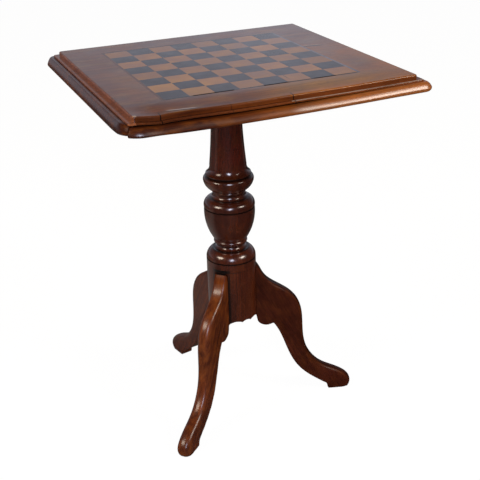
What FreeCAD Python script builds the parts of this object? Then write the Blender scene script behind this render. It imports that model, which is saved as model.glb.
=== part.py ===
"""Chess table: an inlaid board on a turned pillar with three cabriole legs and a top that tips up.

The frame has its origin on the floor under the pillar, X along the near edge of the board and Z up.
Lengths are millimetres.
"""

import FreeCAD
import Part
import Sketcher
import math
import os

SIZES = (
    ("table_height", 720.0, "floor to playing face"),
    ("square", 44.45, "side of one square, one and three quarter inches"),
    ("inlay_depth", 3.0, "thickness of the squares and the line round them"),
    ("line_width", 4.5, "width of the dark line round the squares"),
    ("glue_line", 0.1, "gap left for glue between inlaid or housed pieces"),
    ("band_length", 511.0, "top boards at the upright band, along X"),
    ("band_width", 487.0, "top boards at the upright band, along Y"),
    ("band_height", 6.5, "height of the upright band"),
    ("arris", 3.0, "rounding of the top edge"),
    ("ledge_out", 9.0, "how far the ledge stands out from the band"),
    ("ledge_height", 4.5, "height of the ledge"),
    ("ledge_arris", 1.2, "rounding of the ledge"),
    ("quirk_height", 2.5, "height of the quirk under the ledge"),
    ("quirk_depth", 4.0, "how far the quirk is cut in behind the ledge"),
    ("band_corner", 5.0, "plan rounding of the top boards at a corner"),
    ("top_shift", 3.5, "middle of the top to the right of the pillar and of the squares"),
    ("joint_offset", 19.0, "glued joint of the top boards behind the board centre"),
    ("moulding_out", 23.0, "how far the lower moulding stands out from the band"),
    ("moulding_thick", 16.5, "thickness of the lower moulding"),
    ("moulding_width", 62.0, "plan width of the lower moulding"),
    ("moulding_thumb", 12.0, "thumb rounding of the upper edge of the lower moulding"),
    ("moulding_round", 4.0, "rounding of the lower edge of the lower moulding"),
    ("moulding_corner", 18.0, "plan rounding of the lower moulding at a corner"),
    ("bearer_gap", 5.5, "gap between the end of a bearer and the lower moulding"),
    ("bearer_width", 28.0, "width of a bearer"),
    ("bearer_tip", 13.0, "depth of a bearer at its ends"),
    ("bearer_taper", 81.0, "length of the shaped end of a bearer"),
    ("block_width", 130.0, "tilt block along the pivot"),
    ("block_thick", 36.0, "thickness of the tilt block and depth of the bearers"),
    ("block_back", 80.0, "tilt block behind the pillar axis"),
    ("pivot_front", 62.0, "pivot in front of the pillar axis"),
    ("block_bevel", 7.0, "bevel round the underside of the tilt block"),
    ("turn_gap", 0.3, "gap between the turning nose of the block and the top"),
    ("side_gap", 0.5, "gap between the block and each bearer"),
    ("pin_dia", 10.0, "diameter of a pivot pin"),
    ("pin_depth", 40.0, "pivot pin inside the tilt block"),
    ("pin_fit", 0.06, "radial clearance of a pivot pin"),
    ("screw_dia", 4.0, "shank of a wood screw"),
    ("screw_head", 8.0, "head of a wood screw"),
    ("screw_head_high", 2.4, "height of a screw head"),
    ("screw_bite", 7.0, "wood screw inside the top boards"),
    ("screw_under", 9.0, "bearer left under a screw head"),
    ("screw_in", 54.0, "outer screws in from the ends of a bearer"),
    ("screw_fit", 0.15, "radial clearance of a screw in its hole"),
    ("well_dia", 11.0, "well for a screw head in a bearer"),
    ("slot_width", 1.1, "slot in a screw head"),
    ("slot_depth", 0.9, "depth of the slot in a screw head"),
    ("shaft_top_dia", 58.0, "pillar under the tilt block"),
    ("shaft_foot_dia", 72.0, "pillar shaft at its foot"),
    ("bell_high", 17.5, "bell at the foot of the shaft, above the lip"),
    ("lip_dia", 89.0, "lip under the bell of the shaft"),
    ("lip_rise", 13.5, "lip above the widest place of the large ring"),
    ("ring_dia", 99.0, "large ring under the shaft"),
    ("ring_rise", 23.0, "widest place of the large ring above the neck"),
    ("neck_dia", 65.0, "neck between the large ring and the urn"),
    ("neck_rise", 14.0, "middle of that neck above the shoulder of the urn"),
    ("urn_lip_dia", 77.0, "ledge on the shoulder of the urn"),
    ("urn_shoulder_high", 19.0, "shoulder of the urn from its groove to its ledge"),
    ("urn_dia", 100.5, "urn at its groove"),
    ("urn_bowl_high", 68.5, "bowl of the urn from its foot to its groove"),
    ("groove_half", 1.5, "half width and depth of a turned groove"),
    ("urn_foot_dia", 64.0, "foot of the urn"),
    ("urn_foot_rise", 13.0, "foot of the urn above the lower neck"),
    ("bead_dia", 68.0, "bead under the urn"),
    ("low_neck_dia", 52.0, "lower neck"),
    ("low_neck_rise", 7.5, "lower neck above the ledge of the base ring"),
    ("base_lip_dia", 72.0, "ledge on the base ring"),
    ("base_ring_high", 19.5, "base ring from its groove to its ledge"),
    ("drum_dia", 99.0, "drum that holds the legs"),
    ("drum_over_leg", 18.5, "groove over the drum above the top of a leg"),
    ("scallop", 3.0, "height of the scallops cut in the foot of the drum"),
    ("scallop_deep", 15.0, "scallops cut in from the face of the drum"),
    ("lobe_half", 8.5, "half width of the small middle lobe"),
    ("lobe_reach", 33.0, "half width of the three lobes together"),
    ("tenon_dia", 38.0, "round tenon through the tilt block"),
    ("wedge_thick", 4.0, "wedge in the tenon at its thick end"),
    ("wedge_deep", 24.0, "depth of the wedge"),
    ("leg_heading", -18.0, "direction of the right leg, degrees from X"),
    ("leg_thick", 28.0, "thickness of a leg"),
    ("leg_round", 11.5, "rounding of the upper edges of a leg"),
    ("leg_seat", 3.0, "flat cut in the drum for a leg"),
    ("tongue_deep", 14.0, "depth of the dovetail tongue"),
    ("tongue_narrow", 11.0, "dovetail tongue at the face of the drum"),
    ("tongue_wide", 16.0, "dovetail tongue at its inner end"),
    ("tongue_short", 7.0, "dovetail tongue short of the top of the leg"),
    ("toe_up", 16.6, "toe of a leg above the floor"),
    ("foot_rise", 27.6, "curve point over the foot above the toe"),
    ("instep_rise", 13.3, "curve point of the instep above the foot"),
    ("ankle_rise", 43.4, "curve point of the ankle above the instep"),
    ("shin_rise", 49.4, "curve point of the shin above the ankle"),
    ("knee_rise", 51.2, "curve point of the knee above the shin"),
    ("shoulder_rise", 41.7, "curve point of the shoulder above the knee"),
    ("saddle_rise", 26.9, "curve point of the hollow above the shoulder"),
    ("nape_rise", 31.1, "curve point under the crown above the hollow"),
    ("crown_rise", 8.3, "crown of a leg above that point"),
    ("nape_out", 10.8, "curve point under the crown, out from the drum"),
    ("saddle_step", 2.5, "curve point of the hollow, further out"),
    ("shoulder_step", 62.0, "curve point of the shoulder, further out"),
    ("knee_step", 23.1, "curve point of the knee, further out"),
    ("shin_back", 1.1, "curve point of the shin, back in"),
    ("ankle_step", 4.9, "curve point of the ankle, further out"),
    ("instep_step", 31.9, "curve point of the instep, further out"),
    ("foot_step", 46.7, "curve point over the foot, further out"),
    ("toe_step", 27.8, "curve point of the toe, further out"),
    ("tip_back", 12.6, "front end of the sole, behind the toe"),
    ("sole_length", 43.5, "length of the sole"),
    ("heel_lean", 3.0, "lean of the heel"),
    ("heel_up", 12.5, "height of the heel"),
    ("arch_rise", 10.4, "curve point of the arch above the heel"),
    ("calf_rise", 27.5, "curve point of the lower calf above the arch"),
    ("thigh_rise", 58.1, "curve point of the upper calf above the lower"),
    ("spring_rise", 45.1, "curve point under the notch above the upper calf"),
    ("notch_rise", 17.9, "notch behind the lobe of a leg above that point"),
    ("lobe_rise", 5.5, "inner end of the lobe above the notch"),
    ("drum_rise", 17.0, "underside of the drum above that end"),
    ("lobe_out", 3.5, "inner end of the lobe, out from the drum"),
    ("notch_step", 32.0, "notch behind the lobe, further out"),
    ("spring_step", 13.7, "curve point under the notch, further out"),
    ("thigh_step", 13.1, "curve point of the upper calf, further out"),
    ("calf_step", 26.1, "curve point of the lower calf, further out"),
    ("arch_step", 44.4, "curve point of the arch, further out"),
    ("plate_thick", 2.5, "thickness of the iron plate under the drum"),
    ("plate_disc_dia", 30.0, "middle of the iron plate"),
    ("plate_arm", 42.0, "reach of an arm of the iron plate"),
    ("plate_arm_width", 13.0, "width of an arm of the iron plate"),
    ("nail_out", 36.0, "screw through an arm, out from the axis"),
    ("nail_dia", 3.5, "shank of a plate screw"),
    ("nail_head", 7.0, "head of a plate screw"),
    ("nail_length", 16.0, "plate screw inside the wood"),
    ("bolt_width", 12.0, "width of the sliding bolt"),
    ("bolt_thick", 5.0, "thickness of the sliding bolt"),
    ("bolt_length", 62.0, "length of the sliding bolt"),
    ("bolt_slack", 0.3, "clearance round the sliding bolt"),
    ("bolt_stand", 3.0, "nose of the drawn bolt behind the tilt block"),
    ("bolt_shot", 12.0, "travel of the sliding bolt"),
    ("bolt_plate_thick", 2.0, "thickness of the bolt plate and of the keep"),
    ("bolt_plate_width", 40.0, "width of the bolt plate"),
    ("bolt_plate_length", 62.0, "length of the bolt plate"),
    ("staple_length", 8.0, "length of a staple over the bolt"),
    ("staple_wall", 2.5, "wall of a staple"),
    ("knob_dia", 12.0, "diameter of the bolt knob"),
    ("knob_stem", 5.0, "stem of the bolt knob"),
    ("knob_high", 15.0, "height of the bolt knob"),
    ("keep_width", 34.0, "width of the keep"),
    ("keep_high", 20.0, "height of the keep"),
    ("pin_screw_dia", 2.8, "shank of a small brass screw"),
    ("pin_screw_head", 5.2, "head of a small brass screw"),
    ("pin_screw_length", 6.5, "small brass screw inside the wood"),
)


class Size:
    """A length that knows its number and its expression in the size sheet."""

    def __init__(self, number, text):
        self.number = number
        self.text = text

    def __add__(self, other):
        return combine(self, "+", other, self.number + number_of(other))

    def __radd__(self, other):
        return combine(other, "+", self, number_of(other) + self.number)

    def __sub__(self, other):
        return combine(self, "-", other, self.number - number_of(other))

    def __rsub__(self, other):
        return combine(other, "-", self, number_of(other) - self.number)

    def __mul__(self, other):
        return combine(self, "*", other, self.number * number_of(other))

    def __truediv__(self, other):
        return combine(self, "/", other, self.number / number_of(other))

    def __neg__(self):
        return Size(-self.number, "(-1 * %s)" % self.text)


class SizeTable:
    """The named sizes, each an attribute, kept in a spreadsheet."""

    def __init__(self, document, rows):
        self.sheet = document.addObject("Spreadsheet::Sheet", "Sizes")
        for row, (name, number, meaning) in enumerate(rows, start=1):
            self.sheet.set("A%d" % row, name)
            self.sheet.set("B%d" % row, str(number))
            self.sheet.set("C%d" % row, meaning)
            self.sheet.setAlias("B%d" % row, name)
            setattr(self, name, Size(number, "Sizes.%s" % name))
        document.recompute()


def number_of(value):
    """Return the number of a size or of a plain number."""
    return value.number if isinstance(value, Size) else float(value)


def text_of(value):
    """Return the expression of a size or of a plain number."""
    return value.text if isinstance(value, Size) else repr(float(value))


def combine(left, sign, right, number):
    """Return a size made of two others."""
    return Size(number, "(%s %s %s)" % (text_of(left), sign, text_of(right)))


def span(start, end):
    """Return the distance between two points as a size."""
    (x1, y1), (x2, y2) = start, end
    number = math.hypot(number_of(x2) - number_of(x1), number_of(y2) - number_of(y1))
    dx = "(%s - %s)" % (text_of(x2), text_of(x1))
    dy = "(%s - %s)" % (text_of(y2), text_of(y1))
    return Size(number, "sqrt(%s ^ 2 + %s ^ 2)" % (dx, dy))


def bind(feature, prop, value):
    """Bind one property of a feature to a size."""
    feature.setExpression(prop, text_of(value))


class Bow:
    """A circular edge: its radius as a share of its chord, bulging to one side of the way along it."""

    def __init__(self, fullness, left):
        self.fullness = fullness
        self.left = left


class Sweep:
    """A smooth free curve with its inner curve points."""

    def __init__(self, *points):
        self.points = points


class Drawing:
    """A sketch on a base plane of its own body, with every corner tied to the size sheet."""

    def __init__(self, body, name, plane, height=None):
        self.sketch = body.newObject("Sketcher::SketchObject", name)
        base = next(f for f in body.Origin.OriginFeatures if f.Role == plane)
        self.sketch.AttachmentSupport = (base, "")
        self.sketch.MapMode = "FlatFace"
        if height is not None:
            shift = FreeCAD.Vector(0, 0, number_of(height))
            self.sketch.AttachmentOffset = FreeCAD.Placement(shift, FreeCAD.Rotation())
            bind(self.sketch, "AttachmentOffset.Base.z", height)

    def constrain(self, *parts):
        """Add one constraint and return its number."""
        return self.sketch.addConstraint(Sketcher.Constraint(*parts))

    def measure(self, kind, edge, place, value):
        """Tie one coordinate of a point to a size."""
        number = number_of(value)
        if number == 0.0:
            axis = -2 if kind == "DistanceX" else -1
            self.constrain("PointOnObject", edge, place, axis)
            return
        index = self.constrain(kind, -1, 1, edge, place, number)
        bind(self.sketch, "Constraints[%d]" % index, value)

    def hold(self, edge, place, point):
        """Tie both coordinates of a point."""
        self.measure("DistanceX", edge, place, point[0])
        self.measure("DistanceY", edge, place, point[1])

    def straight(self, start, end):
        """Draw a straight edge and return it with its first and last point numbers."""
        line = Part.LineSegment(vector(start), vector(end))
        return self.sketch.addGeometry(line, False), 1, 2

    def bow(self, start, end, shape):
        """Draw a circular edge and return it with its first and last point numbers."""
        first, last = vector(start), vector(end)
        chord = last - first
        radius = shape.fullness * chord.Length
        rise = math.sqrt(radius ** 2 - (chord.Length / 2) ** 2)
        left = FreeCAD.Vector(-chord.y, chord.x, 0).normalize()
        centre = (first + last) / 2 + left * (-rise if shape.left else rise)
        turn = [math.atan2(p.y - centre.y, p.x - centre.x) for p in (first, last)]
        if shape.left:
            turn.reverse()
        circle = Part.Circle(centre, FreeCAD.Vector(0, 0, 1), radius)
        edge = self.sketch.addGeometry(Part.ArcOfCircle(circle, turn[0], turn[1]), False)
        index = self.constrain("Radius", edge, radius)
        bind(self.sketch, "Constraints[%d]" % index, span(start, end) * shape.fullness)
        return (edge, 2, 1) if shape.left else (edge, 1, 2)

    def sweep(self, start, end, shape):
        """Draw a free curve, tie its inner points and return it with its end point numbers."""
        points = [start] + list(shape.points) + [end]
        curve = Part.BSplineCurve()
        curve.buildFromPoles([vector(p) for p in points], False, 3)
        edge = self.sketch.addGeometry(curve, False)
        self.sketch.exposeInternalGeometry(edge)
        for number, point in enumerate(shape.points, start=2):
            self.hold(edge + number, 3, point)
        return edge, 1, 2

    def loop(self, *steps):
        """Draw a closed outline from points, each with an optional curve on its way to the next."""
        points = [step[0] for step in steps]
        edges = []
        for index, step in enumerate(steps):
            shape = step[1] if len(step) > 1 else None
            start, end = points[index], points[(index + 1) % len(points)]
            if isinstance(shape, Bow):
                edges.append(self.bow(start, end, shape))
            elif isinstance(shape, Sweep):
                edges.append(self.sweep(start, end, shape))
            else:
                edges.append(self.straight(start, end))
        for index, (edge, first, _) in enumerate(edges):
            before, _, last = edges[index - 1]
            self.constrain("Coincident", before, last, edge, first)
            self.hold(edge, first, points[index])

    def box(self, x1, y1, x2, y2):
        """Draw a rectangle."""
        self.loop(((x1, y1),), ((x2, y1),), ((x2, y2),), ((x1, y2),))

    def circle(self, x, y, radius):
        """Draw a circle."""
        ring = Part.Circle(vector((x, y)), FreeCAD.Vector(0, 0, 1), number_of(radius))
        edge = self.sketch.addGeometry(ring, False)
        self.hold(edge, 3, (x, y))
        index = self.constrain("Radius", edge, number_of(radius))
        bind(self.sketch, "Constraints[%d]" % index, radius)


def vector(point):
    """Return a sketch point as a vector."""
    return FreeCAD.Vector(number_of(point[0]), number_of(point[1]), 0)


class Piece:
    """One physical piece: a body with its features."""

    def __init__(self, document, name):
        self.document = document
        self.body = document.addObject("PartDesign::Body", name.title().replace("_", ""))
        self.body.Label = name
        self.body.AllowCompound = True

    def draw(self, name, plane, height=None):
        """Start a sketch in this piece."""
        return Drawing(self.body, self.body.Name + name, plane, height)

    def grow(self, kind, name, drawing, length, both=False, reverse=False):
        """Pad or pocket a sketch."""
        feature = self.body.newObject("PartDesign::" + kind, self.body.Name + name)
        feature.Profile = drawing.sketch
        feature.Midplane = both
        feature.Reversed = reverse
        feature.Length = number_of(length)
        bind(feature, "Length", length)
        drawing.sketch.Visibility = False
        self.document.recompute()
        return feature

    def pad(self, name, drawing, length, both=False, reverse=False):
        """Add the extrusion of a sketch."""
        return self.grow("Pad", name, drawing, length, both, reverse)

    def pocket(self, name, drawing, length, both=False, reverse=False):
        """Cut the extrusion of a sketch."""
        return self.grow("Pocket", name, drawing, length, both, reverse)

    def turn(self, name, drawing):
        """Add the revolution of a sketch about its own upright axis."""
        feature = self.body.newObject("PartDesign::Revolution", self.body.Name + name)
        feature.Profile = drawing.sketch
        feature.ReferenceAxis = (drawing.sketch, ["V_Axis"])
        feature.Angle = 360.0
        self.document.recompute()
        return feature

    def around(self, name, features, count):
        """Repeat features round the upright axis."""
        pattern = self.body.newObject("PartDesign::PolarPattern", self.body.Name + name)
        pattern.Originals = features
        pattern.Axis = (self.axis("Z_Axis"), [""])
        pattern.Angle = 360.0
        pattern.Occurrences = count
        self.body.Tip = pattern
        self.document.recompute()
        return pattern

    def mirror(self, name, features, plane):
        """Repeat features on the other side of a base plane."""
        pattern = self.body.newObject("PartDesign::Mirrored", self.body.Name + name)
        pattern.Originals = features
        pattern.MirrorPlane = (self.axis(plane), [""])
        self.body.Tip = pattern
        self.document.recompute()
        return pattern

    def grid(self, name, features, rows):
        """Repeat features in rows: each row is an axis, its whole length and its count."""
        pattern = self.body.newObject("PartDesign::MultiTransform", self.body.Name + name)
        pattern.Originals = features
        steps = []
        for axis, length, count in rows:
            step = self.body.newObject("PartDesign::LinearPattern", self.body.Name + name + axis[0])
            step.Direction = (self.axis(axis), [""])
            step.Length = number_of(length)
            bind(step, "Length", length)
            step.Occurrences = count
            steps.append(step)
        pattern.Transformations = steps
        self.body.Tip = pattern
        self.document.recompute()
        return pattern

    def round(self, name, radius, chosen):
        """Round the edges that a test chooses."""
        return self.dress("PartDesign::Fillet", name, "Radius", radius, chosen)

    def bevel(self, name, size, chosen):
        """Bevel the edges that a test chooses."""
        return self.dress("PartDesign::Chamfer", name, "Size", size, chosen)

    def dress(self, kind, name, prop, value, chosen):
        """Dress edges of the latest feature."""
        base = self.body.Tip
        edges = ["Edge%d" % n for n, e in enumerate(base.Shape.Edges, start=1) if chosen(e.BoundBox)]
        feature = self.body.newObject(kind, self.body.Name + name)
        feature.Base = (base, edges)
        setattr(feature, prop, number_of(value))
        bind(feature, prop, value)
        self.document.recompute()
        return feature

    def axis(self, role):
        """Return an axis or plane of the body's own origin."""
        return next(f for f in self.body.Origin.OriginFeatures if f.Role == role)

    def head(self, degrees):
        """Turn the whole piece about the upright axis."""
        turn = FreeCAD.Rotation(FreeCAD.Vector(0, 0, 1), number_of(degrees))
        self.body.Placement = FreeCAD.Placement(self.body.Placement.Base, turn)
        bind(self.body, "Placement.Rotation.Angle", degrees)

    def shift(self, axis, length):
        """Move the whole piece along one axis."""
        place = self.body.Placement.Base
        setattr(place, axis, number_of(length))
        self.body.Placement = FreeCAD.Placement(place, self.body.Placement.Rotation)
        bind(self.body, "Placement.Base." + axis, length)


def near(value, target):
    """Tell whether two lengths agree."""
    return abs(value - number_of(target)) < 0.01


def level(box, height):
    """Tell whether an edge lies level at a height."""
    return near(box.ZMin, height) and near(box.ZMax, height)


def make_top_boards(document, size):
    """Make the two glued top boards with their moulded edge and the recess for the inlay."""
    top = size.table_height
    ledge_top = top - size.band_height
    ledge_foot = ledge_top - size.ledge_height
    under = ledge_foot - size.quirk_height
    half_x = size.band_length / 2
    half_y = size.band_width / 2
    field = size.square * 4 + size.line_width + size.glue_line
    joint = size.joint_offset
    shift = size.top_shift
    pitch = bearer_end(size) - size.screw_in
    screws = (-pitch, 0), (0, 1), (pitch, 2)
    screw_x = size.block_width / 2 + size.side_gap + size.bearer_width / 2
    for name, front in (("board_front", True), ("board_back", False)):
        piece = Piece(document, name)
        layers = (
            ("Quirk", under, size.quirk_height, size.ledge_out - size.quirk_depth),
            ("Ledge", ledge_foot, size.ledge_height, size.ledge_out),
            ("Band", ledge_top, size.band_height, Size(0.0, "0")),
        )
        for layer, foot, height, out in layers:
            drawing = piece.draw(layer + "Plan", "XY_Plane", foot)
            low = -half_y - out if front else joint
            high = joint if front else half_y + out
            drawing.box(-half_x - out, low, half_x + out, high)
            piece.pad(layer, drawing, height)
        outer = -1 if front else 1
        piece.round("Corners", size.band_corner, lambda b: (
            b.ZLength > 2 and b.XLength < 0.01 and b.YLength < 0.01 and outer * b.YMin > number_of(joint) + 50))
        piece.round("LedgeEdge", size.ledge_arris, lambda b: (
            level(b, ledge_top) and not near(b.YMin, joint) and beyond(b, half_x, half_y)
            or level(b, ledge_top) and b.YLength > 100 and abs(b.XMin) > half_x.number + 1))
        piece.round("TopEdge", size.arris, lambda b: (
            level(b, top) and not (near(b.YMin, joint) and near(b.YMax, joint))))
        recess = piece.draw("RecessPlan", "XY_Plane", top - size.inlay_depth)
        recess.box(-field - shift, -field if front else joint - 1, field - shift, joint + 1 if front else field)
        piece.pocket("Recess", recess, size.inlay_depth + 1, reverse=True)
        holes = piece.draw("PilotPlan", "XY_Plane", under)
        for y, row in screws:
            if front == (row < 2):
                for x in (-screw_x, screw_x):
                    holes.circle(x - shift, y, size.screw_dia / 2 + size.screw_fit)
        if not front:
            for x, y in bolt_plate_screws(size):
                holes.circle(x - shift, y, size.pin_screw_dia / 2 + size.screw_fit)
        piece.pocket("Pilots", holes, size.screw_bite + 0.5, reverse=True)
        piece.shift("x", shift)


def beyond(box, half_x, half_y):
    """Tell whether an edge lies outside the upright band of the top boards."""
    outside_x = min(abs(box.XMin), abs(box.XMax)) > half_x.number + 1
    outside_y = min(abs(box.YMin), abs(box.YMax)) > half_y.number + 1
    return outside_x or outside_y


def make_inlay(document, size):
    """Make the light and dark squares and the mitred dark line round them."""
    foot = size.table_height - size.inlay_depth
    gap = size.glue_line / 2
    for name, first in (("dark_squares", 0), ("light_squares", 1)):
        piece = Piece(document, name)
        drawing = piece.draw("PairPlan", "XY_Plane", foot)
        for row in (0, 1):
            column = (first + row) % 2
            x = size.square * (column - 4)
            y = size.square * (row - 4)
            drawing.box(x + gap, y + gap, x + size.square - gap, y + size.square - gap)
        pair = piece.pad("Pair", drawing, size.inlay_depth)
        rows = (("X_Axis", size.square * 6, 4), ("Y_Axis", size.square * 6, 4))
        piece.grid("Board", [pair], rows)
    line = Piece(document, "stringing")
    drawing = line.draw("StripPlan", "XY_Plane", foot)
    inner = size.square * 4 + gap
    outer = size.square * 4 + size.line_width
    drawing.loop(
        ((gap - inner, -inner),),
        ((gap - outer, -outer),),
        ((outer - gap, -outer),),
        ((inner - gap, -inner),),
    )
    strip = line.pad("Strip", drawing, size.inlay_depth)
    line.around("Ring", [strip], 4)


def make_mouldings(document, size):
    """Make the four mitred lengths of the thumb moulding under the boards."""
    foot = underside(size) - size.moulding_thick
    corner = size.moulding_corner
    reach = corner * (1 - math.sqrt(0.5))
    fullness = 0.5 / math.sin(math.radians(22.5))
    half_x = size.band_length / 2 + size.moulding_out
    half_y = size.band_width / 2 + size.moulding_out
    sides = (
        ("moulding_front", half_x, half_y, 0),
        ("moulding_right", half_y, half_x, 90),
        ("moulding_back", half_x, half_y, 180),
        ("moulding_left", half_y, half_x, 270),
    )
    for name, along, out, heading in sides:
        piece = Piece(document, name)
        drawing = piece.draw("Plan", "XY_Plane", foot)
        inner_x = along - size.moulding_width
        inner_y = out - size.moulding_width
        drawing.loop(
            ((-inner_x, -inner_y),),
            ((reach - along, reach - out), Bow(fullness, False)),
            ((corner - along, -out),),
            ((along - corner, -out), Bow(fullness, False)),
            ((along - reach, reach - out),),
            ((inner_x, -inner_y),),
        )
        piece.pad("Length", drawing, size.moulding_thick)
        limit = -number_of(out - reach) + 0.01
        edges = (
            ("Thumb", foot + size.moulding_thick, size.moulding_thumb),
            ("Foot", foot, size.moulding_round),
        )
        for edge, height, radius in edges:
            piece.round(edge, radius, lambda b: level(b, height) and b.YMax < limit)
        piece.head(Size(float(heading), repr(float(heading))))
        piece.shift("x", size.top_shift)


def underside(size):
    """Return the height of the underside of the top boards."""
    return size.table_height - size.band_height - size.ledge_height - size.quirk_height


def pivot_up(size):
    """Return the height of the pivot of the top."""
    return underside(size) - size.block_thick / 2


def bearer_end(size):
    """Return how far a bearer reaches from the middle of the boards."""
    return size.band_width / 2 + size.moulding_out - size.moulding_width - size.bearer_gap


def make_bearers(document, size):
    """Make the two bearers that hold the boards flat and carry the pivot pins, and their screws."""
    top = underside(size)
    full = top - size.block_thick
    end = bearer_end(size)
    flat = end - size.bearer_taper
    pitch = end - size.screw_in
    inner = size.block_width / 2 + size.side_gap
    middle = inner + size.bearer_width / 2
    seat = top - size.screw_under
    for name, side in (("bearer_left", -1), ("bearer_right", 1)):
        piece = Piece(document, name)
        drawing = piece.draw("Side", "YZ_Plane", middle * side)
        drawing.loop(
            ((-end, top),),
            ((-end, top - size.bearer_tip), Bow(1.3, True)),
            ((-flat, full),),
            ((flat, full), Bow(1.3, True)),
            ((end, top - size.bearer_tip),),
            ((end, top),),
        )
        piece.pad("Blank", drawing, size.bearer_width, both=True)
        pivot = piece.draw("PivotHole", "YZ_Plane", middle * side)
        pivot.circle(-size.pivot_front, pivot_up(size), size.pin_dia / 2 + size.pin_fit)
        piece.pocket("Pivot", pivot, size.bearer_width + 2, both=True)
        holes = piece.draw("ScrewPlan", "XY_Plane", full)
        wells = piece.draw("WellPlan", "XY_Plane", full)
        for y in (-pitch, Size(0.0, "0"), pitch):
            holes.circle(middle * side, y, size.screw_dia / 2 + size.screw_fit)
            wells.circle(middle * side, y, size.well_dia / 2)
        piece.pocket("Screws", holes, size.block_thick + 1, reverse=True)
        piece.pocket("Wells", wells, seat - full, reverse=True)
    make_screws(document, size, "bearer_screws", seat, size.screw_dia, size.screw_head,
                size.screw_under + size.screw_bite, size.screw_head_high, False,
                [(middle * side, y) for side in (-1, 1)
                 for y in (-pitch, Size(0.0, "0"), pitch)])


def make_screws(document, size, name, seat, shank, head, length, head_high, down, places):
    """Make a group of slotted screws that stand on a level seat."""
    piece = Piece(document, name)
    way = -1 if down else 1
    shanks = piece.draw("ShankPlan", "XY_Plane", seat)
    heads = piece.draw("HeadPlan", "XY_Plane", seat)
    slots = piece.draw("SlotPlan", "XY_Plane", seat - head_high * way)
    half = size.slot_width / 2
    for x, y in places:
        shanks.circle(x, y, shank / 2)
        heads.circle(x, y, head / 2)
        slots.box(x - head, y - half, x + head, y + half)
    piece.pad("Heads", heads, head_high, reverse=not down)
    piece.pad("Shanks", shanks, length, reverse=down)
    piece.pocket("Slots", slots, size.slot_depth, reverse=not down)


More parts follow.
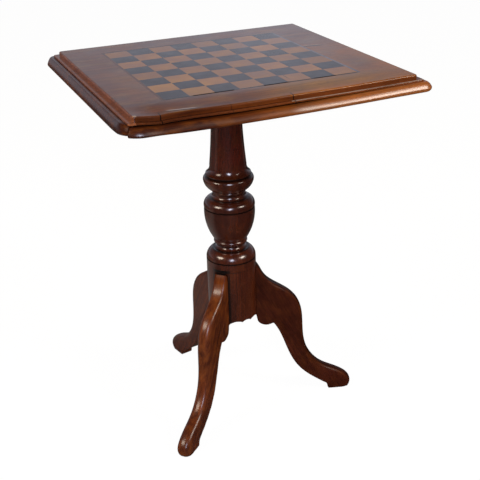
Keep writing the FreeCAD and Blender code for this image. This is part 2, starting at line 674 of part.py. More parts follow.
def make_pillar(document, size):
    """Make the turned pillar with its drum, leg seats, dovetail sockets, scallops and tenon."""
    piece = Piece(document, "pillar")
    block_foot = underside(size) - size.block_thick
    groove = size.groove_half
    zero = Size(0.0, "0")
    drum = size.drum_dia / 2
    urn = size.urn_dia / 2
    low_neck = size.low_neck_dia / 2
    neck = size.neck_dia / 2
    drum_top = crown_up(size) + size.drum_over_leg
    base_lip = drum_top + size.base_ring_high
    low_neck_up = base_lip + size.low_neck_rise
    bead_foot = low_neck_up + 5
    urn_foot = low_neck_up + size.urn_foot_rise
    urn_groove = urn_foot + size.urn_bowl_high
    urn_lip = urn_groove + size.urn_shoulder_high
    neck_up = urn_lip + size.neck_rise
    ring_up = neck_up + size.ring_rise
    lip_up = ring_up + size.lip_rise
    shaft_foot = lip_up + size.bell_high
    drawing = piece.draw("Profile", "XZ_Plane")
    drawing.loop(
        ((zero, drum_foot(size)),),
        ((drum, drum_foot(size)),),
        ((drum, drum_top - groove),),
        ((drum - groove, drum_top),),
        ((drum, drum_top + groove), Bow(0.98, False)),
        ((size.base_lip_dia / 2 + 1.5, base_lip - 0.5),),
        ((size.base_lip_dia / 2, base_lip),),
        ((size.base_lip_dia / 2, base_lip + 1.2), Bow(0.75, True)),
        ((low_neck, low_neck_up - 1),),
        ((low_neck, low_neck_up), Bow(0.58, False)),
        ((low_neck, bead_foot - 0.5),),
        ((size.bead_dia / 2 - 2.5, bead_foot), Bow(0.58, False)),
        ((size.bead_dia / 2 - 2.5, urn_foot - 1),),
        ((size.urn_foot_dia / 2, urn_foot), Bow(1.5, False)),
        ((urn - 0.3, urn_groove - groove),),
        ((urn - groove, urn_groove),),
        ((urn, urn_groove + groove), Bow(0.72, False)),
        ((size.urn_lip_dia / 2, urn_lip),),
        ((size.urn_lip_dia / 2 - 2, urn_lip + 0.5),),
        ((size.urn_lip_dia / 2 - 2, urn_lip + 1.5), Bow(0.75, True)),
        ((neck - 1, neck_up - 3.5),),
        ((neck, neck_up - 3.2),),
        ((neck, neck_up - 1.5), Bow(0.6, False)),
        ((neck, neck_up + 2.5),),
        ((neck + 2, neck_up + 3), Bow(1.1, False)),
        ((size.ring_dia / 2, ring_up), Bow(0.8, False)),
        ((size.lip_dia / 2 - 0.5, lip_up - 4),),
        ((size.lip_dia / 2 - 2, lip_up - 3.5),),
        ((size.lip_dia / 2 - 2, lip_up - 2.5),),
        ((size.lip_dia / 2, lip_up - 2),),
        ((size.lip_dia / 2, lip_up), Bow(0.95, True)),
        ((size.shaft_foot_dia / 2, shaft_foot), Bow(8.5, True)),
        ((size.shaft_top_dia / 2, block_foot),),
        ((size.tenon_dia / 2, block_foot),),
        ((size.tenon_dia / 2, underside(size)),),
        ((zero, underside(size)),),
    )
    piece.turn("Turning", drawing)
    root = leg_root(size)
    fit = size.glue_line
    seat = piece.draw("SeatPlan", "XY_Plane", drum_foot(size))
    half = size.leg_thick / 2 + fit
    seat.box(root, -half, root + size.leg_seat * 4, half)
    cut_seat = piece.pocket("Seat", seat, crown_up(size) + fit - drum_foot(size), reverse=True)
    socket = piece.draw("SocketPlan", "XY_Plane", drum_foot(size))
    dovetail(socket, size, root, fit)
    cut_socket = piece.pocket("Socket", socket, tongue_high(size) + fit, reverse=True)
    scallops = piece.draw("ScallopEdge", "YZ_Plane", size.scallop_deep - drum)
    high = drum_foot(size) + size.scallop
    low = drum_foot(size) - 1
    lobe = size.lobe_half
    scallops.loop(
        ((-size.lobe_reach, low),),
        ((-size.lobe_reach, high), Bow(1.05, True)),
        ((-lobe - 1, high),),
        ((-lobe, high + 1), Bow(0.9, True)),
        ((lobe, high + 1),),
        ((lobe + 1, high), Bow(1.05, True)),
        ((size.lobe_reach, high),),
        ((size.lobe_reach, low),),
    )
    cut_scallops = piece.pocket("Scallops", scallops, size.scallop_deep + 5)
    piece.around("LegPlaces", [cut_seat, cut_socket, cut_scallops], 3)
    kerf = piece.draw("KerfSide", "YZ_Plane")
    wedge_outline(kerf, size, fit)
    piece.pocket("Kerf", kerf, size.tenon_dia + 2, both=True)
    nails = piece.draw("NailPlan", "XY_Plane", drum_foot(size))
    nails.circle(Size(0.0, "0"), Size(0.0, "0"), size.nail_dia / 2 + size.screw_fit)
    piece.pocket("MiddleNail", nails, size.nail_length + 0.5, reverse=True)
    piece.head(size.leg_heading)
    wedge = Piece(document, "tenon_wedge")
    side = wedge.draw("Side", "YZ_Plane")
    wedge_outline(side, size, Size(0.0, "0"))
    wedge.pad("Wedge", side, size.tenon_dia * 0.86, both=True)
    wedge.head(size.leg_heading)


def wedge_outline(drawing, size, gap):
    """Draw the tapered side of the tenon wedge, with a gap round it."""
    top = underside(size)
    half = size.wedge_thick / 2 + gap
    thin = half * 0.3
    foot = top - size.wedge_deep - gap
    drawing.loop(((-half, top),), ((-thin, foot),), ((thin, foot),), ((half, top),))


def stack(first, *steps):
    """Return the running sums of a first size and of the steps after it."""
    sums = [first]
    for step in steps:
        sums.append(sums[-1] + step)
    return sums


def over_heights(size):
    """Return the heights of the upper curve points of a leg, from the toe to the crown."""
    return stack(
        size.toe_up,
        size.foot_rise,
        size.instep_rise,
        size.ankle_rise,
        size.shin_rise,
        size.knee_rise,
        size.shoulder_rise,
        size.saddle_rise,
        size.nape_rise,
        size.crown_rise,
    )


def under_heights(size):
    """Return the heights of the lower curve points of a leg, from the heel to the drum."""
    return stack(
        size.heel_up,
        size.arch_rise,
        size.calf_rise,
        size.thigh_rise,
        size.spring_rise,
        size.notch_rise,
        size.lobe_rise,
        size.drum_rise,
    )


def crown_up(size):
    """Return the height of the crown of a leg above the floor."""
    return over_heights(size)[-1]


def drum_foot(size):
    """Return the height of the underside of the drum above the floor."""
    return under_heights(size)[-1]


def leg_root(size):
    """Return the distance from the pillar axis to the face that a leg stands on."""
    return size.drum_dia / 2 - size.leg_seat


def tongue_high(size):
    """Return the height of a dovetail tongue."""
    return crown_up(size) - size.tongue_short - drum_foot(size)


def dovetail(drawing, size, root, gap):
    """Draw the plan of a dovetail tongue or of its socket."""
    narrow = size.tongue_narrow / 2 + gap
    wide = size.tongue_wide / 2 + gap
    inner = root - size.tongue_deep - gap
    outer = root + gap
    drawing.loop(((inner, -wide),), ((outer, -narrow),), ((outer, narrow),), ((inner, wide),))


def make_legs(document, size):
    """Make the three cabriole legs, each with a dovetail tongue."""
    root = leg_root(size)
    zero = Size(0.0, "0")
    over_up = over_heights(size)
    over_out = stack(
        root + size.nape_out,
        size.saddle_step,
        size.shoulder_step,
        size.knee_step,
        -size.shin_back,
        size.ankle_step,
        size.instep_step,
        size.foot_step,
        size.toe_step,
    )
    under_up = under_heights(size)
    under_out = stack(
        root + size.lobe_out,
        size.notch_step,
        size.spring_step,
        size.thigh_step,
        size.calf_step,
        size.arch_step,
    )
    tip = over_out[-1] - size.tip_back
    heel = tip - size.sole_length
    for name, turn in (("leg_right", 0), ("leg_back", 120), ("leg_front", 240)):
        piece = Piece(document, name)
        drawing = piece.draw("Outline", "XZ_Plane")
        drawing.loop(
            ((root, over_up[-1]), Sweep(*zip(over_out, reversed(over_up[:-1])))),
            ((tip, zero),),
            ((heel, zero),),
            ((heel - size.heel_lean, under_up[0]), Sweep(*zip(reversed(under_out[2:]), under_up[1:5]))),
            ((under_out[1], under_up[5]), Bow(0.69, True)),
            ((under_out[0], under_up[6]),),
            ((root, under_up[7]),),
        )
        blank = piece.pad("Blank", drawing, size.leg_thick, both=True)
        tall = number_of(crown_up(size)) * 0.95
        piece.round("UpperEdges", size.leg_round, lambda b: b.ZLength > tall and b.XLength > 50)
        tongue = piece.draw("TonguePlan", "XY_Plane", drum_foot(size))
        dovetail(tongue, size, root, zero)
        piece.pad("Tongue", tongue, tongue_high(size))
        nail = piece.draw("NailPlan", "XY_Plane", drum_foot(size))
        nail.circle(size.nail_out, zero, size.nail_dia / 2 + size.screw_fit)
        piece.pocket("Nail", nail, size.nail_length + 0.5, reverse=True)
        piece.head(size.leg_heading + turn)


def make_spider(document, size):
    """Make the iron plate that ties the legs under the drum, and its screws."""
    foot = drum_foot(size) - size.plate_thick
    zero = Size(0.0, "0")
    plate = Piece(document, "spider_plate")
    disc = plate.draw("DiscPlan", "XY_Plane", foot)
    disc.circle(zero, zero, size.plate_disc_dia / 2)
    plate.pad("Disc", disc, size.plate_thick)
    arm = plate.draw("ArmPlan", "XY_Plane", foot)
    half = size.plate_arm_width / 2
    neck = size.plate_arm - half
    arm.loop(
        ((zero, -half),),
        ((neck, -half), Bow(0.51, False)),
        ((neck, half),),
        ((zero, half),),
    )
    reach = plate.pad("Arm", arm, size.plate_thick)
    hole = plate.draw("HolePlan", "XY_Plane", foot)
    hole.circle(size.nail_out, zero, size.nail_dia / 2 + size.screw_fit)
    drilled = plate.pocket("Hole", hole, size.plate_thick, reverse=True)
    plate.around("Arms", [reach, drilled], 3)
    middle = plate.draw("MiddlePlan", "XY_Plane", foot)
    middle.circle(zero, zero, size.nail_dia / 2 + size.screw_fit)
    plate.pocket("Middle", middle, size.plate_thick, reverse=True)
    plate.head(size.leg_heading)
    places = [(zero, zero)]
    for turn in (0, 120, 240):
        across = math.cos(math.radians(turn))
        up = math.sin(math.radians(turn))
        places.append((size.nail_out * across, size.nail_out * up if turn else zero))
    make_screws(document, size, "spider_screws", foot, size.nail_dia, size.nail_head,
                size.plate_thick + size.nail_length, size.screw_head_high * 0.7, False, places)
    screws = document.getObjectsByLabel("spider_screws")[0]
    turn = FreeCAD.Rotation(FreeCAD.Vector(0, 0, 1), number_of(size.leg_heading))
    screws.Placement = FreeCAD.Placement(FreeCAD.Vector(), turn)
    bind(screws, "Placement.Rotation.Angle", size.leg_heading)


def make_tilt_block(document, size):
    """Make the block on the pillar, rounded where the top turns about it, and the pivot pins."""
    top = underside(size)
    foot = top - size.block_thick
    pivot = pivot_up(size)
    nose = size.block_thick / 2 - size.turn_gap
    front = -size.pivot_front
    zero = Size(0.0, "0")
    piece = Piece(document, "tilt_block")
    drawing = piece.draw("Side", "YZ_Plane")
    drawing.loop(
        ((front, top),),
        ((front, pivot + nose), Bow(math.sqrt(0.5), True)),
        ((front - nose, pivot),),
        ((front - nose, foot),),
        ((size.block_back, foot),),
        ((size.block_back, top),),
    )
    piece.pad("Blank", drawing, size.block_width, both=True)
    piece.bevel("Underside", size.block_bevel, lambda b: level(b, foot) and not near(b.YMax, front - nose))
    mortise = piece.draw("MortisePlan", "XY_Plane", foot)
    mortise.circle(zero, zero, size.tenon_dia / 2 + size.glue_line)
    piece.pocket("Mortise", mortise, size.block_thick, reverse=True)
    drill = piece.draw("PinHole", "YZ_Plane", size.block_width / 2)
    drill.circle(front, pivot, size.pin_dia / 2 + size.pin_fit)
    hole = piece.pocket("Pin", drill, size.pin_depth + 0.5)
    piece.mirror("OtherPin", [hole], "YZ_Plane")
    bolt = piece.draw("BoltMortise", "XZ_Plane", -size.block_back)
    half = size.bolt_width / 2 + size.bolt_slack
    bolt.box(-half, bolt_foot(size) - size.bolt_slack, half, bolt_top(size) + size.bolt_slack)
    piece.pocket("Bolt", bolt, size.bolt_shot + 2, reverse=True)
    holes = piece.draw("KeepHoles", "XZ_Plane", -size.block_back)
    for x, z in keep_screws(size):
        holes.circle(x, z, size.pin_screw_dia / 2 + size.screw_fit)
    piece.pocket("KeepPilots", holes, size.pin_screw_length + 0.5, reverse=True)
    pins = Piece(document, "pivot_pins")
    start = size.block_width / 2 - size.pin_depth
    end = size.block_width / 2 + size.side_gap + size.bearer_width
    bar = pins.draw("Section", "YZ_Plane", start)
    bar.circle(front, pivot, size.pin_dia / 2)
    pin = pins.pad("Pin", bar, end - start)
    pins.mirror("OtherPin", [pin], "YZ_Plane")


def bolt_top(size):
    """Return the height of the upper face of the sliding bolt."""
    return underside(size) - size.bolt_plate_thick - size.bolt_slack


def bolt_foot(size):
    """Return the height of the lower face of the sliding bolt."""
    return bolt_top(size) - size.bolt_thick


def bolt_nose(size):
    """Return how far behind the pillar axis the nose of the drawn bolt stands."""
    return size.block_back + size.bolt_stand


def plate_start(size):
    """Return how far behind the pillar axis the bolt plate starts."""
    return bolt_nose(size) + 1


def bolt_plate_screws(size):
    """Return the places of the bolt plate screws."""
    across = size.bolt_plate_width / 2 - 5
    first = plate_start(size) + 5
    last = plate_start(size) + size.bolt_plate_length - 5
    return [(x, y) for x in (-across, across) for y in (first, last)]


def keep_screws(size):
    """Return the places of the keep screws on the back of the tilt block."""
    across = size.keep_width / 2 - 5
    height = underside(size) - size.keep_high / 2
    return [(-across, height), (across, height)]


def make_catch(document, size):
    """Make the brass bolt with its knob, the plate that it slides on and the keep on the block."""
    top = underside(size)
    face = top - size.bolt_plate_thick
    zero = Size(0.0, "0")
    start = plate_start(size)
    plate = Piece(document, "bolt_plate")
    plan = plate.draw("Plan", "XY_Plane", face)
    half = size.bolt_plate_width / 2
    plan.box(-half, start, half, start + size.bolt_plate_length)
    plate.pad("Plate", plan, size.bolt_plate_thick)
    clear = size.bolt_width / 2 + size.bolt_slack
    wall = clear + size.staple_wall
    roof = bolt_foot(size) - size.bolt_slack
    ends = (start + 2, start + size.bolt_plate_length - 18)
    for number, first in enumerate(ends):
        name = "Staple%d" % number
        arch = plate.draw(name + "Section", "XZ_Plane", -first)
        arch.loop(
            ((-wall, face),),
            ((-clear, face),),
            ((-clear, roof),),
            ((clear, roof),),
            ((clear, face),),
            ((wall, face),),
            ((wall, roof - size.staple_wall),),
            ((-wall, roof - size.staple_wall),),
        )
        plate.pad(name, arch, size.staple_length, reverse=True)
    holes = plate.draw("HolePlan", "XY_Plane", face)
    for x, y in bolt_plate_screws(size):
        holes.circle(x, y, size.pin_screw_dia / 2 + size.screw_fit)
    plate.pocket("Holes", holes, size.bolt_plate_thick, reverse=True)
    make_screws(document, size, "bolt_plate_screws", face, size.pin_screw_dia, size.pin_screw_head,
                size.bolt_plate_thick + size.pin_screw_length - 1.5, size.screw_head_high * 0.6, False,
                bolt_plate_screws(size))
    knob_y = start + size.bolt_plate_length * 0.55
    bar = Piece(document, "bolt_bar")
    plan = bar.draw("Plan", "XY_Plane", bolt_foot(size))
    half = size.bolt_width / 2
    nose = bolt_nose(size)
    plan.box(-half, nose, half, nose + size.bolt_length)
    bar.pad("Bar", plan, size.bolt_thick)
    bar.bevel("Nose", Size(2.0, "2"), lambda b: near(b.YMax, nose) and b.ZLength > 1)
    seat = bar.draw("KnobSeat", "XY_Plane", bolt_foot(size))
    seat.circle(zero, knob_y, size.knob_stem / 2 + size.glue_line)
    bar.pocket("Seat", seat, size.bolt_thick * 0.6, reverse=True)
    knob = Piece(document, "bolt_knob")
    outline = knob.draw("Profile", "XZ_Plane")
    stem = size.knob_stem / 2
    ball = size.knob_dia / 2
    tall = bolt_foot(size)
    foot = tall - size.knob_high
    outline.loop(
        ((zero, foot), ),
        ((ball * 0.6, foot), Bow(1.0, False)),
        ((ball, foot + size.knob_high * 0.28), Bow(0.88, False)),
        ((stem, foot + size.knob_high * 0.62),),
        ((stem, tall + size.bolt_thick * 0.55),),
        ((zero, tall + size.bolt_thick * 0.55),),
    )
    knob.turn("Turning", outline)
    knob.shift("y", knob_y)
    keep = Piece(document, "bolt_keep")
    back = keep.draw("Face", "XZ_Plane", -size.block_back)
    wide = size.keep_width / 2
    back.box(-wide, top - size.keep_high, wide, top - 0.5)
    keep.pad("Plate", back, size.bolt_plate_thick, reverse=True)
    slot = keep.draw("SlotFace", "XZ_Plane", -size.block_back)
    slot.box(-clear, bolt_foot(size) - size.bolt_slack, clear, bolt_top(size) + size.bolt_slack)
    keep.pocket("Slot", slot, size.bolt_plate_thick)
    holes = keep.draw("HoleFace", "XZ_Plane", -size.block_back)
    for x, z in keep_screws(size):
        holes.circle(x, z, size.pin_screw_dia / 2 + size.screw_fit)
    keep.pocket("Holes", holes, size.bolt_plate_thick)
    make_keep_screws(document, size)


def make_keep_screws(document, size):
    """Make the two small screws of the keep."""
    face = size.block_back + size.bolt_plate_thick
    piece = Piece(document, "keep_screws")
    heads = piece.draw("HeadFace", "XZ_Plane", -face)
    shanks = piece.draw("ShankFace", "XZ_Plane", -face)
    high = size.screw_head_high * 0.35
    slots = piece.draw("SlotFace", "XZ_Plane", -face - high)
    half = size.slot_width / 2
    for x, z in keep_screws(size):
        heads.circle(x, z, size.pin_screw_head / 2)
        shanks.circle(x, z, size.pin_screw_dia / 2)
        slots.box(x - size.pin_screw_head, z - half, x + size.pin_screw_head, z + half)
    piece.pad("Heads", heads, high, reverse=True)
    piece.pad("Shanks", shanks, size.bolt_plate_thick + size.pin_screw_length)
    piece.pocket("Slots", slots, high * 0.6)


def write_parts(document):
    """Check every piece and write it to its own file."""
    os.makedirs("parts", exist_ok=True)
    document.recompute()
    for item in document.Objects:
        if "Invalid" in item.State or "Error" in item.State:
            raise RuntimeError("%s did not build: %s" % (item.Label, item.State))
    for body in document.findObjects("PartDesign::Body"):
        if body.Shape.isNull() or not body.Shape.isValid():
            raise RuntimeError("%s has no sound shape" % body.Label)
        body.Shape.exportStep("parts/%s.step" % body.Label)


def main():
    """Build the table and write its pieces."""
    document = FreeCAD.newDocument("ChessTable")
    size = SizeTable(document, SIZES)
    make_pillar(document, size)
    make_legs(document, size)
    make_spider(document, size)
    make_tilt_block(document, size)
    make_top_boards(document, size)
    make_inlay(document, size)
    make_mouldings(document, size)
    make_bearers(document, size)
    make_catch(document, size)
    write_parts(document)


main()
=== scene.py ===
"""Dresses the chess table: polished mahogany, an inlaid board, and iron and brass under the top."""

from __future__ import annotations

import logging
import math
from dataclasses import astuple, dataclass, field, replace
from enum import Enum, IntEnum
from functools import partial
from typing import Callable

import bmesh
import bpy
from bpy.types import Material, NodeSocket, NodeTree
from mathutils import Matrix, Vector


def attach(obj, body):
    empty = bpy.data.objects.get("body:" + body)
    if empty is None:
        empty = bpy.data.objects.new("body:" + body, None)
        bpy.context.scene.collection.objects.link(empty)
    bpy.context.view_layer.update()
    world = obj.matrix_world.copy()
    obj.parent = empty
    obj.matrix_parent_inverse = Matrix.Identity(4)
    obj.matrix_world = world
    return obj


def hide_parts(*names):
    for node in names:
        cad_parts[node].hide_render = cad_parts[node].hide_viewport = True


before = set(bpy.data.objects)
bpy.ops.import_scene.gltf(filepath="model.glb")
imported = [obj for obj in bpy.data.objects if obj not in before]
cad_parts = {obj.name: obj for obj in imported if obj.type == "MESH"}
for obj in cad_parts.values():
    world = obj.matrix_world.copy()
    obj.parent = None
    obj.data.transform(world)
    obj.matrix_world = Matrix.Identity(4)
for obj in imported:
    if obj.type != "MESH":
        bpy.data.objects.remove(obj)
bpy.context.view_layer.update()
LOG = logging.getLogger("chess_table")

Colour = tuple[float, float, float, float]
Point = tuple[float, float, float]
Span = tuple[float, float]
Stations = tuple[Span, ...]
Adder = Callable[..., NodeSocket]

MM = 0.001
CLOSE = 0.01  # Two sizes in mm that differ by less than this count as the same.
WHITE: Colour = (1.0, 1.0, 1.0, 1.0)
# The black of old wax, with painted shade, in the narrow hollows and joints of the pillar.
DARK_WAX_AND_SHADE = "#0b0504"
NOISE_SPAN = {"From Min": 0.3, "From Max": 0.7}  # Where most of a noise pattern lies.
LEVEL = 0.8  # A face whose normal rises by more than this lies level,
DEAD_LEVEL = 0.995  # and by more than this it isn't rounded at all.


class Body(Enum):
    """The parts of the table that move as one."""

    BASE = "base"
    TOP = "top"
    BOLT = "catch_bolt"


class Axis(Enum):
    """The three directions of the frame."""

    X = (1.0, 0.0, 0.0)
    Y = (0.0, 1.0, 0.0)
    Z = (0.0, 0.0, 1.0)


class Side(Enum):
    """The four sides of the top."""

    FRONT = "front"
    BACK = "back"
    LEFT = "left"
    RIGHT = "right"

    @property
    def way(self) -> Axis:
        """Give the way the moulding runs on this side."""
        return Axis.X if self in (Side.FRONT, Side.BACK) else Axis.Y


class Skin(IntEnum):
    """The finishes of the boards, in their order on the piece."""

    FACE = 0
    EDGE = 1
    WAX_AND_SHADE = 2
    RUBBED_AND_LIT = 3
    DUSTY_AND_SHEEN = 4
    LIGHT = 5
    BARE = 6


def linear(code: str) -> Colour:
    """Turn an sRGB hex code into a linear colour.

    Args:
        code: Six hex digits after a hash sign.

    Returns:
        The linear red, green and blue, and an alpha of 1.
    """
    parts = [int(code[start:start + 2], 16) / 255.0 for start in (1, 3, 5)]
    red, green, blue = (
        part / 12.92 if part <= 0.04045 else ((part + 0.055) / 1.055) ** 2.4 for part in parts
    )
    return red, green, blue, 1.0


def greys(stations: Stations) -> list[tuple[float, Colour]]:
    """Turn places and heights into the grey stops of a colour ramp."""
    return [(place, (value, value, value, 1.0)) for place, value in stations]


def ease(value: float, start: float, end: float) -> float:
    """Go smoothly from 0 at start to 1 at end.

    Args:
        value: Where to read the curve.
        start: Where it leaves 0.
        end: Where it reaches 1.

    Returns:
        The height of the curve.
    """
    share = min(max((value - start) / (end - start), 0.0), 1.0)
    return share * share * (3.0 - 2.0 * share)


def follow(stations: Stations, place: float) -> float:
    """Read a curve that runs straight from station to station.

    Args:
        stations: Places in rising order, each with the curve's height there.
        place: Where to read the curve.

    Returns:
        The height of the curve.
    """
    for (start, low), (end, high) in zip(stations, stations[1:]):
        if place <= end:
            return low + (high - low) * max(place - start, 0.0) / (end - start)
    return stations[-1][1]


def add_node(
    tree: NodeTree,
    kind: str,
    inputs: dict | None = None,
    stops: list[tuple[float, Colour]] | None = None,
    out: int | str = 0,
    **settings: object,
) -> NodeSocket | None:
    """Add one node, with its settings, its values and its links.

    Args:
        tree: The node tree of a material or of the world.
        kind: The node's type, without the words that all types start with.
        inputs: A value or an output socket for each named or numbered input.
        stops: Places and colours of a colour ramp, in rising order.
        out: The name or number of the output that is wanted.
        settings: The node's own properties.

    Returns:
        The output that is wanted, or nothing for a node without outputs.
    """
    node = tree.nodes.new("ShaderNode" + kind)
    for key, value in settings.items():
        setattr(node, key, value)
    if stops:
        elements = node.color_ramp.elements
        elements.remove(elements[1])
        elements[0].position, elements[0].color = stops[0]
        for place, colour in stops[1:]:
            elements.new(place).color = colour
    for key, value in (inputs or {}).items():
        if isinstance(value, NodeSocket):
            tree.links.new(value, node.inputs[key])
        else:
            node.inputs[key].default_value = value
    return node.outputs[out] if node.outputs else None


def new_material(name: str) -> tuple[Material, Adder, NodeSocket]:
    """Make an empty node material.

    Args:
        name: What the material is and how it was made.

    Returns:
        The material, the call that adds a node to it, and its object coordinates.
    """
    material = bpy.data.materials.new(name)
    material.use_nodes = True
    material.node_tree.nodes.clear()
    add = partial(add_node, material.node_tree)
    return material, add, add("TexCoord", out="Object")


@dataclass(frozen=True)
class Mark:
    """A small blemish: a crack, a lost splinter, a worn streak or a line of old wax.

    Attributes:
        centre: Its middle in mm.
        half: Half its length, width and depth in mm.
        code: Its colour.
        turn: Its turn about the vertical in degrees.
        strength: How far it covers the wood under it.
        soft: The share of its size over which it fades out.
    """

    centre: Point
    half: Point
    code: str
    turn: float = 0.0
    strength: float = 1.0
    soft: float = 0.3

    def over(self, add: Adder, coord: NodeSocket, colour: NodeSocket | Colour) -> NodeSocket:
        """Lay the mark over a colour.

        Args:
            add: Adds a node to the material.
            coord: The object's coordinates.
            colour: The colour under the mark.

        Returns:
            The colour with the mark on it.
        """
        place = add(
            "Mapping",
            {
                "Vector": coord,
                "Location": tuple(MM * part for part in self.centre),
                "Rotation": (0.0, 0.0, math.radians(self.turn)),
                "Scale": tuple(MM * part for part in self.half),
            },
            vector_type="TEXTURE",
        )
        reach = add("VectorMath", {0: place}, operation="ABSOLUTE")
        x, y, z = add("SeparateXYZ", {0: reach}).node.outputs
        far = add("Math", {0: x, 1: y}, operation="MAXIMUM")
        far = add("Math", {0: far, 1: z}, operation="MAXIMUM")
        fade = {"From Min": 1.0 - self.soft, "From Max": 1.0 + self.soft}
        cover = add(
            "MapRange",
            {"Value": far, **fade, "To Min": self.strength, "To Max": 0.0},
            interpolation_type="SMOOTHSTEP",
        )
        return add("Mix", {0: cover, 6: colour, 7: linear(self.code)}, out=2, data_type="RGBA")


def thinned(centre: Point, half: Point, strength: float, soft: float = 0.3) -> Mark:
    """Give a place where the clear polish has worn thin, as a black mark on its weight."""
    return Mark(centre, half, "#000000", strength=strength, soft=soft)


def streaks(add: Adder, laid: NodeSocket, size: Span, detail: float) -> NodeSocket:
    """Draw streaks along the grain.

    Args:
        add: Adds a node to the material.
        laid: Coordinates with the grain along X.
        size: Length and width of a streak in mm.
        detail: Number of finer layers.

    Returns:
        The height of the pattern, about 0.5 on average.
    """
    along, across = (1.0 / (MM * part) for part in size)
    space = add("Mapping", {"Vector": laid, "Scale": (along, across, across)})
    look = {"Scale": 1.0, "Detail": detail, "Roughness": 0.55, "Distortion": 0.25}
    return add("TexNoise", {"Vector": space, **look})


@dataclass(frozen=True)
class Wood:
    """Wood with ribbons, fine fibre streaks and short open pores along the grain, under a polish.

    Attributes:
        name: What the wood is and how it was worked.
        shades: The colours of the dark ribbons, of most of the wood and of the light ribbons.
        grain: The way the grain runs.
        ribbon: Length and width of a ribbon in mm.
        fibre: Length and width of a fibre streak in mm.
        gloss: Lowest and highest roughness.
        sheen: How far the bare wood shines under the polish.
        polish: Weight of the clear polish.
        polish_rough: Roughness of the clear polish.
        blotch: How far the tone changes from place to place.
        patch: The colour of the patches where the stain has worn.
        worn: How far the patches show, from 0 to 1.
        spread: Size of a patch in mm.
        film: How strongly the clear polish bends light.
        stains: Broad changes of colour under the grain.
        dulled: Places where the clear polish has worn thin.
        marks: The blemishes.
        pore: Length and width of a pore in mm, drawn coarser than real ones so that they show.
        hollow: The colour in a pore.
        pores: How dark the pores are, from 0 to 1.
        cloud: Size in mm of the places that have aged alike.
    """

    name: str
    shades: tuple[str, str, str]
    grain: Point = Axis.X.value
    ribbon: Span = (240.0, 11.0)
    fibre: Span = (55.0, 1.6)
    gloss: Span = (0.34, 0.48)
    sheen: float = 0.04
    polish: float = 1.0
    polish_rough: float = 0.15
    blotch: float = 0.15
    patch: str = "#7a4218"
    worn: float = 0.0
    spread: float = 40.0
    film: float = 1.5
    stains: tuple[Mark, ...] = ()
    dulled: tuple[Mark, ...] = ()
    marks: tuple[Mark, ...] = ()
    pore: Span = (9.0, 0.7)
    hollow: str = "#150806"
    pores: float = 0.45
    cloud: float = 60.0

    def material(self) -> Material:
        """Make the material, with its grain laid along the piece.

        Returns:
            The material.
        """
        material, add, coord = new_material(self.name)
        turn = Vector(self.grain).rotation_difference(Vector(Axis.X.value)).to_euler()
        laid = add("Mapping", {"Vector": coord, "Rotation": tuple(turn)})
        ribbon = streaks(add, laid, self.ribbon, 3.0)
        fibre = streaks(add, laid, self.fibre, 2.0)
        pore = streaks(add, laid, self.pore, 1.0)
        age = add("TexNoise", {"Vector": coord, "Scale": 1.0 / (self.cloud * MM), "Detail": 4.0})
        stops = [(place, linear(code)) for place, code in zip((0.32, 0.5, 0.68), self.shades)]
        colour = add("ValToRGB", {0: ribbon}, stops=stops)
        for stain in self.stains:
            colour = stain.over(add, coord, colour)
        streak = add("MapRange", {"Value": fibre, **NOISE_SPAN, "To Min": 0.72, "To Max": 1.24})
        change = {"To Min": 1.0 - self.blotch, "To Max": 1.0 + self.blotch}
        aged = add("MapRange", {"Value": age, **NOISE_SPAN, **change})
        tone = add("Math", {0: streak, 1: aged}, operation="MULTIPLY")
        colour = add("HueSaturation", {"Value": tone, "Color": colour})
        drawn = add("Mapping", {"Vector": laid, "Scale": (0.45, 1.0, 1.0)})
        look = {"Scale": 1.0 / (self.spread * MM), "Detail": 5.0, "Roughness": 0.6}
        thin = add("TexNoise", {"Vector": drawn, **look})
        bared = add(
            "MapRange",
            {"Value": thin, "From Min": 0.45, "From Max": 0.68, "To Min": 0.0, "To Max": self.worn},
            interpolation_type="SMOOTHSTEP",
        )
        sunk = add(
            "MapRange",
            {"Value": pore, "From Min": 0.58, "From Max": 0.7, "To Min": 0.0, "To Max": self.pores},
        )
        for share, code in ((bared, self.patch), (sunk, self.hollow)):
            laid_on = {0: share, 6: colour, 7: linear(code)}
            colour = add("Mix", laid_on, out=2, data_type="RGBA")
        for mark in self.marks:
            colour = mark.over(add, coord, colour)
        low, high = self.gloss
        rough = add("MapRange", {"Value": age, **NOISE_SPAN, "To Min": low, "To Max": high})
        dents = {"Height": sunk, "Strength": 0.25, "Distance": 0.12 * MM}
        clear = (self.polish, self.polish, self.polish, 1.0) if self.dulled else self.polish
        for place in self.dulled:
            clear = place.over(add, coord, clear)
        shader = add(
            "BsdfPrincipled",
            {
                "Base Color": colour,
                "Roughness": rough,
                "Normal": add("Bump", dents, invert=True),
                "Specular IOR Level": self.sheen,
                "Coat Weight": clear,
                "Coat Roughness": self.polish_rough,
                "Coat IOR": self.film,
            },
        )
        add("OutputMaterial", {"Surface": shader})
        return material


def bare(where: str, way: Axis) -> Wood:
    """Choose the finish of the faces that nobody sees.

    Args:
        where: What they are part of.
        way: The way the grain runs.

    Returns:
        Planed mahogany without polish.
    """
    # Planed and left bare: a dull, dry brown with its fibre showing.
    return Wood(
        name=f"planed mahogany, left bare, {where}",
        shades=("#3a2013", "#56321d", "#6e4429"), grain=way.value, ribbon=(220.0, 8.0),
        gloss=(0.55, 0.7), polish=0.0,
    )


